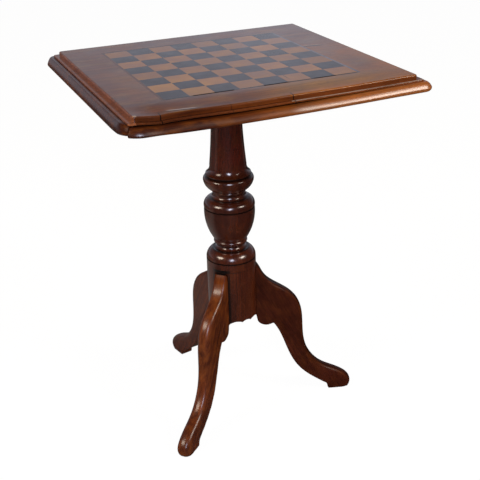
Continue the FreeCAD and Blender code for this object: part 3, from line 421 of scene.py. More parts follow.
@dataclass(frozen=True)
class Veneer:
    """Stained squares let into the top: each has its own tone under a clouded, worn polish.

    Attributes:
        name: What the squares are and how they were made.
        base: The main colour.
        cloud: The colour of the clouded patches.
        marks: The blemishes.
        spread: How far the squares differ in tone.
        square: Side of a square in mm.
        fibre: Length and width of a fibre streak in mm.
        patch: Size of a clouded patch in mm.
        gloss: Lowest and highest roughness.
        sheen: How far the bare wood shines under the polish.
        polish_rough: Roughness of the clear polish.
    """

    name: str
    base: str
    cloud: str
    marks: tuple[Mark, ...]
    spread: float = 0.12
    square: float = 44.45
    fibre: Span = (38.0, 1.5)
    patch: float = 28.0
    gloss: Span = (0.34, 0.5)
    sheen: float = 0.2
    polish_rough: float = 0.2

    def material(self) -> Material:
        """Make the material, with one tone for each square.

        Returns:
            The material.
        """
        material, add, coord = new_material(self.name)
        # The third size is larger than the table, so that a square isn't cut by height.
        size = (self.square * MM, self.square * MM, 10.0)
        cell = add("VectorMath", {0: coord, 1: size}, operation="DIVIDE")
        cell = add("VectorMath", {0: cell}, operation="FLOOR")
        own = add("TexWhiteNoise", {"Vector": cell})
        fibre = streaks(add, coord, self.fibre, 2.0)
        cloud = add("TexNoise", {"Vector": coord, "Scale": 1.0 / (self.patch * MM), "Detail": 4.0})
        stops = [(0.38, linear(self.base)), (0.72, linear(self.cloud))]
        colour = add("ValToRGB", {0: cloud}, stops=stops)
        change = {"To Min": 1.0 - self.spread, "To Max": 1.0 + self.spread}
        shade = add("MapRange", {"Value": own, **change})
        streak = add("MapRange", {"Value": fibre, **NOISE_SPAN, "To Min": 0.88, "To Max": 1.1})
        tone = add("Math", {0: shade, 1: streak}, operation="MULTIPLY")
        colour = add("HueSaturation", {"Value": tone, "Color": colour})
        for mark in self.marks:
            colour = mark.over(add, coord, colour)
        low, high = self.gloss
        rough = add("MapRange", {"Value": cloud, **NOISE_SPAN, "To Min": low, "To Max": high})
        shader = add(
            "BsdfPrincipled",
            {
                "Base Color": colour,
                "Roughness": rough,
                "Normal": add("Bump", {"Height": fibre, "Strength": 0.2, "Distance": 0.1 * MM}),
                "Specular IOR Level": self.sheen,
                "Coat Weight": 1.0,
                "Coat Roughness": self.polish_rough,
            },
        )
        add("OutputMaterial", {"Surface": shader})
        return material


@dataclass(frozen=True)
class WaxAndShade:
    """Old wax and dust, with painted shade, in the joints and grooves: nearly black, dull and a
    little crumbly.

    Attributes:
        name: What lies there.
        dark: The colour of the wax.
        dust: The colour of the dust in it.
        crumb: Size of the crumbs in mm.
    """

    name: str = "old wax and dust, with painted shade, in the grooves"
    dark: str = "#0a0403"
    dust: str = "#1d110b"
    crumb: float = 2.2

    def material(self) -> Material:
        """Make the material, with the dust in crumbs.

        Returns:
            The material.
        """
        material, add, coord = new_material(self.name)
        crumb = add("TexNoise", {"Vector": coord, "Scale": 1.0 / (self.crumb * MM), "Detail": 4.0})
        stops = [(0.45, linear(self.dark)), (0.75, linear(self.dust))]
        shader = add(
            "BsdfPrincipled",
            {
                "Base Color": add("ValToRGB", {0: crumb}, stops=stops),
                "Roughness": 0.85,
                "Normal": add("Bump", {"Height": crumb, "Strength": 0.5, "Distance": 0.2 * MM}),
                "Specular IOR Level": 0.1,
            },
        )
        add("OutputMaterial", {"Surface": shader})
        return material


@dataclass(frozen=True)
class Metal:
    """Old metal: a worn bright face under patches of dark tarnish, with a fine uneven skin.

    Attributes:
        name: What the metal is and how it was worked.
        bright: Its colour where it is rubbed.
        tarnish: Its colour where it has dulled.
        gloss: Roughness where rubbed and where dulled.
        patch: Size of the patches in mm.
        skin: Size of the fine unevenness in mm.
        edge: Where a patch starts and ends in its noise.
    """

    name: str
    bright: str
    tarnish: str
    gloss: Span
    patch: float
    skin: float = 1.4
    edge: Span = (0.36, 0.64)

    def material(self) -> Material:
        """Make the material, with its tarnish in patches.

        Returns:
            The material.
        """
        material, add, coord = new_material(self.name)
        look = {"Scale": 1.0 / (self.patch * MM), "Detail": 5.0, "Roughness": 0.6}
        patch = add("TexNoise", {"Vector": coord, **look})
        skin = add("TexNoise", {"Vector": coord, "Scale": 1.0 / (self.skin * MM), "Detail": 2.0})
        start, end = self.edge
        stops = [(start, linear(self.tarnish)), (end, linear(self.bright))]
        rubbed, dulled = self.gloss
        change = {"From Min": start, "From Max": end, "To Min": dulled, "To Max": rubbed}
        shader = add(
            "BsdfPrincipled",
            {
                "Base Color": add("ValToRGB", {0: patch}, stops=stops),
                "Roughness": add("MapRange", {"Value": patch, **change}),
                "Normal": add("Bump", {"Height": skin, "Strength": 0.3, "Distance": 0.15 * MM}),
                "Metallic": 1.0,
            },
        )
        add("OutputMaterial", {"Surface": shader})
        return material


@dataclass(frozen=True)
class Scores:
    """Cuts across a piece, so that it can bend or change its finish there.

    Attributes:
        axis: The way across which the piece is scored.
        start: The first score in mm.
        end: The last score in mm.
        step: The distance between scores in mm.
    """

    axis: Axis
    start: float
    end: float
    step: float


@dataclass
class Workpiece:
    """One piece on the bench: it starts as the frame's own shape and is worked from there.

    Attributes:
        node: The piece of the frame that it stands for.
        body: What it moves with.
        slot: The name of its finish; not used.
        mesh: The shape under work.
    """

    node: str
    body: Body
    slot: str
    mesh: bmesh.types.BMesh = field(init=False)

    def __post_init__(self) -> None:
        """Take the frame's shape and join its loose facets."""
        self.mesh = bmesh.new()
        self.mesh.from_mesh(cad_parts[self.node].data)
        bmesh.ops.remove_doubles(self.mesh, verts=self.mesh.verts, dist=2e-6)

    def score(self, scores: Scores) -> None:
        """Cut across the faces of the piece.

        Args:
            scores: Where the cuts lie.
        """
        count = int(round((scores.end - scores.start) / scores.step))
        for index in range(count + 1):
            bmesh.ops.bisect_plane(
                self.mesh,
                geom=[*self.mesh.verts, *self.mesh.edges, *self.mesh.faces],
                dist=1e-6,
                plane_co=Vector(scores.axis.value) * MM * (scores.start + index * scores.step),
                plane_no=Vector(scores.axis.value),
            )

    def shift(self, move: Callable[[Vector, Vector], Vector]) -> None:
        """Move every point of the piece.

        Args:
            move: Gives the shift in mm of a point in mm with its normal.
        """
        self.mesh.normal_update()
        moves = [move(vert.co / MM, vert.normal) for vert in self.mesh.verts]
        for vert, step in zip(self.mesh.verts, moves):
            vert.co += step * MM

    def lift(self, rise: Callable[[Vector], float]) -> None:
        """Move every point of the piece up by its own rise in mm."""
        self.shift(lambda point, _: Vector((0.0, 0.0, rise(point))))

    def soften(self, voxel: float, rounds: int) -> None:
        """Wear the edges of the piece round.

        Args:
            voxel: The fineness of the worn skin in mm.
            rounds: How often the skin is smoothed.
        """
        mesh = bpy.data.meshes.new(self.node + ".rough")
        self.mesh.to_mesh(mesh)
        rough = bpy.data.objects.new(self.node + ".rough", mesh)
        bpy.context.scene.collection.objects.link(rough)
        skin = rough.modifiers.new("skin", "REMESH")
        skin.mode = "VOXEL"
        skin.voxel_size = voxel * MM
        graph = bpy.context.evaluated_depsgraph_get()
        worn = bpy.data.meshes.new_from_object(rough.evaluated_get(graph))
        self.mesh.free()
        self.mesh = bmesh.new()
        self.mesh.from_mesh(worn)
        ways = {f"use_axis_{letter}": True for letter in "xyz"}
        for _ in range(rounds):
            bmesh.ops.smooth_vert(self.mesh, verts=self.mesh.verts, factor=0.5, **ways)
        bpy.data.objects.remove(rough)
        bpy.data.meshes.remove(mesh)
        bpy.data.meshes.remove(worn)

    def paint(self, choose: Callable[[Vector, Vector], int]) -> None:
        """Give each face its finish.

        Args:
            choose: Gives the number of a finish for a face by its middle in mm and its normal.
        """
        for face in self.mesh.faces:
            face.material_index = choose(face.calc_center_median() / MM, face.normal)

    def place(self, *materials: Material, crease: float = 34.0) -> None:
        """Take the piece off the bench and put it in the table.

        Args:
            materials: Its finishes, the main one first.
            crease: The angle in degrees from which an edge stays sharp.
        """
        bmesh.ops.recalc_face_normals(self.mesh, faces=self.mesh.faces)
        for face in self.mesh.faces:
            face.smooth = True
        for edge in self.mesh.edges:
            edge.smooth = edge.calc_face_angle(0.0) < math.radians(crease)
        mesh = bpy.data.meshes.new(self.node + "_dressed")
        self.mesh.to_mesh(mesh)
        self.mesh.free()
        for material in materials:
            mesh.materials.append(material)
        piece = bpy.data.objects.new(self.node + "_dressed", mesh)
        bpy.context.scene.collection.objects.link(piece)
        flat = piece.modifiers.new("flat faces", "WEIGHTED_NORMAL")
        flat.keep_sharp = True
        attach(piece, self.body.value)
        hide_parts(self.node)
        LOG.info("%s: %d faces", piece.name, len(mesh.polygons))


@dataclass
class Pillar:
    """The turned pillar: shaft, bell, ring, urn, base ring and drum.

    Attributes:
        grooves: Lowest and highest place of each cut groove in mm.
        shaded_creases: Heights and half widths of the places darkened with wax and with painted
            shade, in mm.
        girth: Half the width in mm of a mark that goes all the way round.
        joints: Where the sides of the legs meet the drum, in degrees round it.
        drum: Radius of the drum, and the middle height of the joints, in mm.
        seam_shade: Half the depth, width and height of the wax and painted shade along a joint, in
            mm.
        stains: The red of the shaft and the dark of the urn.
        shadows: The scribed line on the drum, and the painted shadow in the open joint over the
            front leg.
    """

    grooves: tuple[Span, ...] = ((326.6, 329.4), (435.1, 437.9))
    shaded_creases: Stations = (
        (348.1, 1.0), (354.5, 0.9), (359.8, 1.4), (456.5, 1.0),
        (466.2, 1.0), (502.6, 2.4),
    )
    girth: float = 60.0
    joints: tuple[float, ...] = (-34.4, -1.6, 85.6, 118.4, 205.6, 238.4)
    drum: Span = (49.5, 250.0)
    seam_shade: Point = (8.0, 4.5, 56.0)
    stains: tuple[Mark, ...] = (
        Mark((0.0, 0.0, 610.0), (80.0, 80.0, 90.0), "#5a1b0d", strength=0.7, soft=0.25),
        Mark((0.0, 0.0, 420.0), (80.0, 80.0, 70.0), "#33110a", strength=0.4, soft=0.4),
    )
    shadows: tuple[Mark, ...] = (
        Mark((0.0, 0.0, 310.3), (60.0, 60.0, 0.8), "#120806", strength=0.6, soft=0.6),
        # Painted shadow in the open joint above the front leg's crown.
        Mark((-36.8, -33.1, 312.6), (14.0, 17.0, 2.6), "#060302", turn=222.0, soft=0.4),
    )

    def crease(self, height: float, half: float) -> Mark:
        """Give the line of wax and painted shade round the pillar at a height."""
        return Mark((0.0, 0.0, height), (self.girth, self.girth, half), DARK_WAX_AND_SHADE, 0.0, 0.9, 0.6)

    def joint(self, angle: float) -> Mark:
        """Give the wax and painted shade along the joint with a leg.

        Args:
            angle: Where the joint lies, in degrees round the drum.

        Returns:
            The line of wax and painted shade.
        """
        radius, height = self.drum
        way = math.radians(angle)
        place = (radius * math.cos(way), radius * math.sin(way), height)
        return Mark(place, self.seam_shade, DARK_WAX_AND_SHADE, angle, 0.85, 0.4)

    def dress(self) -> None:
        """Put the pillar in its finish."""
        shaded_creases = (self.crease(height, half) for height, half in self.shaded_creases)
        # Wax and painted shade along the joints of the drum with the legs.
        joints = (self.joint(angle) for angle in self.joints)
        # Turned and french polished: deep red-brown, with sharp highlights down every round.
        wood = Wood(
            name="turned mahogany, stained dark and french polished",
            shades=("#3c170c", "#461c0d", "#502210"), grain=Axis.Z.value, ribbon=(260.0, 9.0),
            gloss=(0.2, 0.27), sheen=0.3, polish_rough=0.2, blotch=0.22, worn=0.3, patch="#66300f",
            spread=26.0, film=1.6, stains=self.stains, marks=(*shaded_creases, *joints, *self.shadows),
        )
        pillar = Workpiece("pillar", Body.BASE, "turned_mahogany")
        # The grooves take the black of old wax and painted shade.
        pillar.paint(lambda middle, _: any(low < middle.z < high for low, high in self.grooves))
        pillar.place(wood.material(), WaxAndShade().material())


@dataclass(frozen=True)
class Leg:
    """One cabriole leg, sawn from the plank and worn round along its edges.

    Attributes:
        node: The leg's name.
        heading: The way it points, in degrees.
        side_darkening: How far its flat sides have darkened.
        polish: Weight of the clear polish that is left on it.
        worn: How far the stain has worn off in patches.
        crest: How far its crest has darkened.
        blocked: How square its toe is.
        slope: How far the grain falls below the level, in degrees.
        crown: The height in mm above which the joint with the drum is painted black, with wax and
            painted shadow.
        dull: How far below that the polish is dull, in mm.
        thick: Half its thickness in mm.
        edge: Rounding of its upper edges along the shin and at the crown, in mm.
        sharpen: Heights between which the edges go from the one to the other, in mm.
        flat: How far a normal turns out of a flat side before the edge starts and is full.
        toe: Start of the toe's round from the axis, half its flat end and its rounding, in mm.
        corner: The power that makes the toe's round square.
        instep: Height in mm above which the toe stays round, and the height over which it squares.
        voxel: The fineness of its worn skin in mm.
        rounds: How often the skin is smoothed.
        shin: The middle of the leg in its own plane, and half its length and height, in mm.
        flank: Middle and half the width of the dark on a flat side, across the leg, in mm.
        ridge: Half the width of the dark on the crest, in mm.
        foot: The middle of the darker foot in the leg's own plane, and half its size, in mm.
        inward: How far inward the normal of a face points that meets the drum.
    """

    node: str
    heading: float
    side_darkening: float
    polish: float
    worn: float
    crest: float = 0.0
    blocked: float = 0.0
    slope: float = 62.0
    crown: float = 305.5
    dull: float = 16.0
    thick: float = 14.0
    edge: Span = (11.5, 6.0)
    sharpen: Span = (215.0, 285.0)
    flat: Span = (0.06, 0.2)
    toe: Point = (235.0, 2.5, 11.5)
    corner: int = 8
    instep: Span = (30.0, 20.0)
    voxel: float = 1.3
    rounds: int = 7
    shin: tuple[float, float, float, float] = (140.0, 150.0, 200.0, 220.0)
    flank: Span = (17.5, 7.0)
    ridge: float = 9.5
    foot: tuple[Point, Point] = ((222.0, 0.0, 8.0), (42.0, 40.0, 34.0))
    inward: float = -0.2

    @property
    def around(self) -> Matrix:
        """Give the turn from the leg's own plane to its heading."""
        return Matrix.Rotation(math.radians(self.heading), 3, "Z")

    def square(self, point: Vector, normal: Vector) -> Vector:
        """Sharpen the upper edges towards the crown.

        Args:
            point: A point of the leg in mm.
            normal: The way its skin faces there.

        Returns:
            How far the point moves, in mm.
        """
        around = self.around
        place, facing = around.inverted() @ point, around.inverted() @ normal
        profile = Vector((facing.x, 0.0, facing.z))
        wide, small = self.edge
        change = (wide - small) * ease(place.z, *self.sharpen)
        if facing.x < self.inward or change == 0.0:
            return Vector()
        spread = change * (1.0 - abs(facing.y)) * min(abs(place.y) / (self.thick - wide), 1.0)
        rise = change * (1.0 - profile.length) * ease(profile.length, *self.flat)
        sideways = Vector((0.0, math.copysign(spread, place.y), 0.0))
        return around @ (sideways + profile.normalized() * rise)

    def block(self, point: Vector, _: Vector) -> Vector:
        """Widen the toe towards the floor, so that its end is square.

        Args:
            point: A point of the leg in mm.

        Returns:
            How far the point moves, in mm.
        """
        around = self.around
        place = around.inverted() @ point
        start, flat, rounding = self.toe
        ahead, aside = (place.x - start) / rounding, (abs(place.y) - flat) / rounding
        if min(ahead, aside) <= 0.0:
            return Vector()
        square = (ahead ** self.corner + aside ** self.corner) ** (1.0 / self.corner)
        high, run = self.instep
        grow = (math.hypot(ahead, aside) / square - 1.0) * ease(high - place.z, 0.0, run)
        wider = self.blocked * grow * aside * rounding
        return around @ Vector((0.0, math.copysign(wider, place.y), 0.0))

    def mark(self, place: Point, half: Point, code: str, strength: float, soft: float) -> Mark:
        """Give a mark with its place in the leg's own plane, turned with the leg."""
        return Mark(tuple(self.around @ Vector(place)), half, code, self.heading, strength, soft)

    def stains(self) -> tuple[Mark, ...]:
        """Give the darkened sides and crest and the darker foot.

        Returns:
            The stains, in the order in which they lie on each other.
        """
        ahead, height, long, tall = self.shin
        aside, wide = self.flank
        # Most crests stay lighter than the flat sides, which are drawn darker.
        sides = (
            self.mark((ahead, across, height), (long, wide, tall), "#37130c", self.side_darkening, 0.35)
            for across in (-aside, aside)
        )
        half = (long, self.ridge, tall)
        crest = self.mark((ahead, 0.0, height), half, "#1c0c0a", self.crest, 0.35)
        foot = self.mark(*self.foot, "#451a0a", 0.4, 0.6)
        return (*sides, crest, foot)

    def dress(self) -> None:
        """Shape the leg and put it in its finish."""
        fall = Matrix.Rotation(math.radians(self.slope), 3, "Y")
        # Sawn, shaped and french polished: lively orange-brown, with soft highlights on the crest.
        wood = Wood(
            name=f"sawn mahogany, stained and french polished, {self.node}",
            shades=("#4e200b", "#622c0f", "#763a14"),
            grain=tuple(self.around @ fall @ Vector(Axis.X.value)), ribbon=(120.0, 6.0),
            fibre=(26.0, 1.8), polish=self.polish, polish_rough=0.27, blotch=0.3, patch="#8a4715",
            worn=self.worn, spread=13.0, stains=self.stains(),
        )
        dull = replace(wood, name=wood.name + ", dull at the crown", polish=0.1)
        leg = Workpiece(self.node, Body.BASE, "leg_mahogany")
        leg.soften(self.voxel, self.rounds)
        leg.shift(self.square)
        leg.shift(self.block)
        # Above the crown the leg takes the black of wax and painted shadow under the drum's band;
        # below it, a dull polish.
        starts = (self.crown - self.dull, self.crown)
        leg.paint(lambda middle, _: sum(middle.z > start for start in starts))
        leg.place(wood.material(), dull.material(), WaxAndShade().material(), crease=60.0)


@dataclass
class Legs:
    """The three legs round the drum.

    Attributes:
        legs: The legs, each with its own wear.
    """

    legs: tuple[Leg, ...] = (
        Leg("leg_right", -18.0, side_darkening=0.82, polish=0.25, worn=0.1, crest=0.85, blocked=1.0),
        Leg("leg_back", 102.0, side_darkening=0.5, polish=1.0, worn=0.15),
        Leg("leg_front", 222.0, side_darkening=0.35, polish=1.0, worn=0.45),
    )

    def dress(self) -> None:
        """Shape the legs and put them in their finish."""
        for leg in self.legs:
            leg.dress()


@dataclass(frozen=True)
class Thumb:
    """The worn profile of the thumb moulding at one place.

    Attributes:
        reach: How far the slope reaches out, in mm.
        tall: How far it comes down, in mm.
        lead: How quickly it turns down at the top.
        fall: How straight it comes down to the nose.
        nose: Rounding of the lower edge in mm.
    """

    reach: float
    tall: float
    lead: float
    fall: float
    nose: float

    def towards(self, other: Thumb, share: float) -> Thumb:
        """Give a profile between this one and another."""
        pairs = zip(astuple(self), astuple(other))
        return Thumb(*(near + (far - near) * share for near, far in pairs))


@dataclass
class Boards:
    """The two boards of the top, with the moulded edge that is worked on them.

    Attributes:
        droop: How far the front edge hangs, by place along it, in mm.
        front_run: How far in front of the middle the droop starts and is full, in mm.
        ledge: Foot and head of the ledge in mm, and its worn height.
        quirk: Foot and head of the groove under the ledge, in mm.
        worn: Where the front edge starts to be rubbed bare and painted lighter, in mm.
        arris: How far back and how low the rubbed upper edge with painted light goes, in mm.
        lip: How far back the dust and painted reflection on the front ledge go, in mm.
        left: Where the left edge with painted light starts, in mm.
        leftward: How far left the normal of a face points that belongs to that edge.
        near: How far from the head of the ledge a face still belongs to it, in mm.
        scores: Where the front board is scored, so that it can hang.
        stains: The golden right end, worn and with painted light from the right, and the patches
            round the squares.
        cracks: The cracks across the front edge.
        scars: The crack at the right, the painted highlight and painted shadow of a lifted streak,
            and the lost splinter at the corner.
    """

    droop: Stations = (
        (-252.0, 0.0), (-232.0, -2.4), (-210.0, -4.8), (-190.0, -3.4),
        (-150.0, -3.0), (-82.0, -3.9), (-30.0, -3.8), (26.0, -3.1),
        (85.0, -2.9), (135.0, -2.3), (200.0, -1.2), (259.0, 0.0),
    )
    front_run: Span = (190.0, 246.0)
    ledge: Point = (709.0, 713.5, 3.0)
    quirk: Span = (706.6, 708.9)
    worn: float = 16.0
    arris: Span = (-239.5, 718.0)
    lip: float = -248.0
    left: float = -251.0
    leftward: float = -0.4
    near: float = 0.5
    scores: tuple[Scores, ...] = (
        Scores(Axis.X, -248.0, 256.0, 8.0),
        Scores(Axis.Y, -248.5, -190.0, 6.5),
    )
    stains: tuple[Mark, ...] = (
        # The first two lighten the right end and its upper edge: a worn tone and painted light
        # where the lamp falls.
        Mark((300.0, -160.0, 720.0), (230.0, 190.0, 20.0), "#a8651c", strength=0.85, soft=0.75),
        Mark((150.0, -240.0, 719.0), (130.0, 8.0, 8.0), "#a8621d", strength=0.9, soft=0.5),
        Mark((105.0, -206.0, 720.0), (95.0, 24.0, 20.0), "#a07622", strength=0.5, soft=0.85),
        Mark((208.0, -112.0, 720.0), (24.0, 70.0, 20.0), "#4a2416", strength=0.5, soft=0.9),
        Mark((-192.0, -50.0, 720.0), (24.0, 80.0, 20.0), "#8f5c22", strength=0.4, soft=0.9),
        Mark((-203.0, -192.0, 720.0), (30.0, 18.0, 20.0), "#3c1c10", strength=0.5, soft=0.9),
    )
    cracks: tuple[Mark, ...] = (
        Mark((-206.0, -243.5, 708.0), (0.8, 12.0, 12.0), "#0e0604"),
        Mark((-87.5, -243.5, 708.0), (0.6, 12.0, 10.0), "#1c0c06", strength=0.7),
        Mark((22.0, -243.5, 708.0), (0.8, 12.0, 12.0), "#0e0604"),
    )
    scars: tuple[Mark, ...] = (
        Mark((199.5, 36.0, 720.0), (18.0, 2.6, 4.0), "#140a06", turn=-9.0, soft=0.4),
        Mark((202.5, 42.0, 720.0), (17.0, 2.2, 4.0), "#b59c8a", turn=-9.0, strength=0.45),
        # A painted highlight on a lifted streak, and its painted shadow.
        Mark((-167.0, -232.0, 718.0), (22.0, 1.5, 6.0), "#b9aaa6", turn=-7.0, strength=0.8),
        Mark((-165.0, -235.6, 718.0), (26.0, 1.8, 6.0), "#24110a", turn=-7.0, strength=0.85),
        Mark((-247.5, -240.0, 719.0), (3.2, 2.4, 5.0), "#c2a68c", strength=0.7),
    )

    def thin(self, point: Vector) -> float:
        """Wear the ledge down to its height.

        Args:
            point: A point of the board in mm.

        Returns:
            How far the point rises, in mm.
        """
        foot, head, high = self.ledge
        inside = foot <= point.z <= head + CLOSE
        return (high / (head - foot) - 1.0) * float(inside) * (point.z - foot)

    def hang(self, point: Vector) -> float:
        """Give the droop of the front edge at a point."""
        return follow(self.droop, point.x) * ease(-point.y, *self.front_run)

    def skin(self, middle: Vector, normal: Vector) -> Skin:
        """Choose the finish of one face.

        Args:
            middle: The middle of the face in mm.
            normal: The way it faces.

        Returns:
            The finish.
        """
        head = self.ledge[1]
        foot, groove = self.quirk
        back, low = self.arris
        if middle.z < head - self.near and normal.z < -LEVEL:
            return Skin.BARE
        if middle.x < self.left or normal.x < self.leftward:
            return Skin.LIGHT
        if middle.x > self.worn and middle.y < self.lip:
            if abs(middle.z - head) < self.near and normal.z > LEVEL:
                return Skin.DUSTY_AND_SHEEN
        if middle.x > self.worn and middle.y < back and middle.z > low and normal.z < DEAD_LEVEL:
            return Skin.RUBBED_AND_LIT
        # The groove under the ledge takes the black of wax and painted shade.
        if foot < middle.z < groove:
            return Skin.WAX_AND_SHADE
        if groove < middle.z < head + self.near or normal.z < LEVEL:
            return Skin.EDGE
        return Skin.FACE

    def finishes(self) -> tuple[Wood | WaxAndShade, ...]:
        """Choose the finishes of the boards.

        Returns:
            The finishes, in the order of Skin.
        """
        # Planed and french polished long ago: a brown mirror, clouded and golden where worn, with
        # painted light on the right end.
        face = Wood(
            name="planed mahogany boards, french polished and worn",
            shades=("#592d16", "#683719", "#78431e"), ribbon=(320.0, 13.0), sheen=0.2,
            polish_rough=0.2, blotch=0.24, patch="#885c22", worn=0.6, spread=30.0,
            stains=self.stains, marks=(*self.cracks, *self.scars),
        )
        # Painted light: the edge is drawn lighter towards the right, where the lamp falls.
        warm = Mark((160.0, -243.0, 715.0), (260.0, 20.0, 20.0), "#7a3c12", strength=0.8, soft=0.5)
        # Wax with painted shade: a dark line in the corner where the ledge meets the band.
        wax = Mark((-122.0, -246.0, 709.0), (136.0, 1.7, 4.5), "#160805", strength=0.8, soft=0.25)
        # Handled for years: dark and glossy, with wax and painted shade where the ledge meets the
        # upper edge, and painted light growing towards the right.
        edge = Wood(
            name="planed mahogany edge, dark with handling",
            shades=("#3c180a", "#4a200c", "#5a2a0e"), ribbon=(320.0, 4.0), polish_rough=0.18,
            patch="#6c3814", worn=0.4, stains=(warm,), marks=(*self.cracks, wax),
        )
        # Rubbed through the stain and painted with light from the right: a bright orange line along
        # the edge.
        rubbed = replace(
            edge,
            name="planed mahogany arris, rubbed bare",
            shades=("#80481a", "#98581f", "#ae6c2c"), polish=0.5, stains=(),
        )
        # Dusty, out of the polisher's reach, with a painted reflection: a dull, greyish strip.
        dusty = replace(
            edge,
            name="planed mahogany ledge, worn and dusty",
            shades=("#86705f", "#a18a7a", "#b7a293"), polish=0.3, worn=0.2, stains=(),
        )
        # Painted light from the left: a lighter, redder brown that keeps its gloss.
        light = replace(
            edge,
            name="planed mahogany edge, rubbed light on the left",
            shades=("#6a3a22", "#844a2c", "#985a38"), patch="#a0603a", stains=(),
        )
        return face, edge, WaxAndShade(), rubbed, dusty, light, bare("top boards", Axis.X)

    def dress(self) -> None:
        """Shape the two boards and put them in their finishes."""
        materials = [finish.material() for finish in self.finishes()]
        for node in ("board_front", "board_back"):
            board = Workpiece(node, Body.TOP, "board_mahogany")
            if node == "board_front":
                for scores in self.scores:
                    board.score(scores)
            board.paint(self.skin)
            board.lift(self.thin)
            if node == "board_front":
                board.lift(self.hang)
            board.place(*materials)


@dataclass
class Mouldings:
    """The thumb moulding under the boards, in four lengths.

    Attributes:
        settle: How far the upper edge of the front length hangs, by place along it, in mm.
        belly: How far the lower edge of the front length hangs, by place along it, in mm.
        front_run: How far in front of the middle the hang starts and is full, in mm.
        spring: How far the near ends of the left and right lengths have sprung up, in mm.
        end_run: How far in front of the middle that starts and is full, in mm.
        tight: How far the side and back lengths stand up to the ledge, in mm.
        outline: Middle, half sizes and corner of the plan in mm.
        sawn: Rounding of the upper and lower edges as sawn, in mm.
        thumbs: The worn profile towards the left and the right.
        blend: Where the one profile ends and the other starts, in mm.
        knocked: Rounding in plan to which the near left corner has been worn, in mm.
        crest: Height of the upper edge in mm.
        bottom: Height of the underside in mm.
        downward: How far down the normal of a face points that was never polished.
        scores: Where the lengths along X and along Y are scored, so that they can bend.
        corner_scores: Where the front length is scored again at its worn corner.
        stains: The golden right and the dark left: painted light and painted shade along the front.
        dulled: Where the polish of the front length has worn thin.
    """

    settle: Stations = (
        (-268.0, 0.0), (-214.0, -4.0), (-150.0, -3.7), (-82.0, -4.9),
        (-30.0, -4.3), (26.0, -3.7), (85.0, -2.4), (135.0, -1.4),
        (200.0, 0.8), (259.0, 2.4),
    )
    belly: Stations = (
        (-214.0, 0.0), (-176.0, -1.4), (-120.0, -2.2), (26.0, -1.6),
        (85.0, -1.3), (135.0, -0.5), (200.0, 1.0), (262.0, 2.2),
    )
    front_run: Span = (190.0, 246.0)
    spring: Span = (3.4, 2.4)
    end_run: Span = (195.0, 262.0)
    tight: float = 1.8
    outline: tuple[float, float, float, float] = (3.5, 278.5, 266.5, 18.0)
    sawn: Span = (12.0, 4.0)
    thumbs: tuple[Thumb, Thumb] = (
        Thumb(7.5, 12.0, 1.54, 1.54, 4.0),
        Thumb(10.2, 9.5, 1.1, 1.8, 6.8),
    )
    blend: Span = (-20.0, 140.0)
    knocked: float = 38.0
    crest: float = 706.5
    bottom: float = 690.0
    downward: float = -0.9
    scores: tuple[Scores, Scores] = (
        Scores(Axis.X, -264.0, 272.0, 8.0),
        Scores(Axis.Y, -264.5, -189.5, 3.0),
    )
    corner_scores: Scores = Scores(Axis.X, -273.0, -237.0, 3.0)
    stains: tuple[Mark, ...] = (
        # Painted light towards the right end, painted shade towards the left.
        Mark((250.0, -255.0, 698.0), (220.0, 60.0, 40.0), "#b06320", strength=0.88, soft=0.8),
        Mark((-230.0, -255.0, 698.0), (110.0, 60.0, 40.0), "#37170a", strength=0.7, soft=0.8),
    )
    dulled: tuple[Mark, ...] = (
        thinned((-97.0, -255.0, 698.0), (118.0, 60.0, 40.0), 0.85, 0.14),
        thinned((-262.0, -258.0, 698.0), (12.0, 12.0, 20.0), 0.6, 0.5),
        thinned((-240.0, -258.0, 706.0), (34.0, 30.0, 9.0), 0.9, 0.3),
    )

    def flatten(self, point: Vector, _: Vector) -> Vector:
        """Wear the moulding from its sawn rounds to its profile.

        Args:
            point: A point of the moulding in mm.

        Returns:
            How far the point moves, in mm.
        """
        middle, half_x, half_y, corner = self.outline
        above, below = self.sawn
        side = Vector((point.x - middle, point.y))
        past = Vector((abs(side.x) - half_x + corner, abs(side.y) - half_y + corner))
        if min(past) <= 0.0:
            past = Vector((past.x, 0.0)) if past.x > past.y else Vector((0.0, past.y))
        out = past.length - corner + above
        if max(past) <= 0.0 or out < -CLOSE:
            return Vector()
        worn = self.thumbs[0].towards(self.thumbs[1], ease(point.x, *self.blend))
        high = point.z - self.crest + above
        further = higher = 0.0
        if high > -CLOSE:
            turn = math.atan2(max(out, 0.0), max(high, 0.0))
            further = above - worn.reach + worn.reach * math.sin(turn) ** worn.lead - out
            higher = above - worn.tall + worn.tall * math.cos(turn) ** worn.fall - high
        elif out > above - below - CLOSE:
            under = max(self.bottom + below - point.z, 0.0)
            turn = math.atan2(under, max(out - above + below, 0.0))
            further = (worn.nose - below) * (math.cos(turn) - 1.0)
            higher = (worn.nose - below) * (1.0 - math.sin(turn))
        past.normalize()
        x, y = (math.copysign(part, way) * further for part, way in zip(past, side))
        return Vector((x, y, higher))

    def blunt(self, point: Vector, _: Vector) -> Vector:
        """Wear the near left corner of the moulding round in plan.

        Args:
            point: A point of the moulding in mm.

        Returns:
            How far the point moves, in mm.
        """
        middle, half_x, half_y, corner = self.outline
        place = Vector((point.x - middle + half_x, point.y + half_y))
        if max(place) >= self.knocked:
            return Vector()
        inside = min(place)
        if max(place) < corner:
            inside = corner - (place - Vector((corner, corner))).length
        centre = Vector((self.knocked, self.knocked))
        moved = centre + (place - centre).normalized() * (self.knocked - inside) - place
        return Vector((moved.x, moved.y, 0.0))

    def level(self, point: Vector) -> float:
        """Give the share of the moulding's height at which a point lies."""
        return min(max((point.z - self.bottom) / (self.crest - self.bottom), 0.0), 1.0)

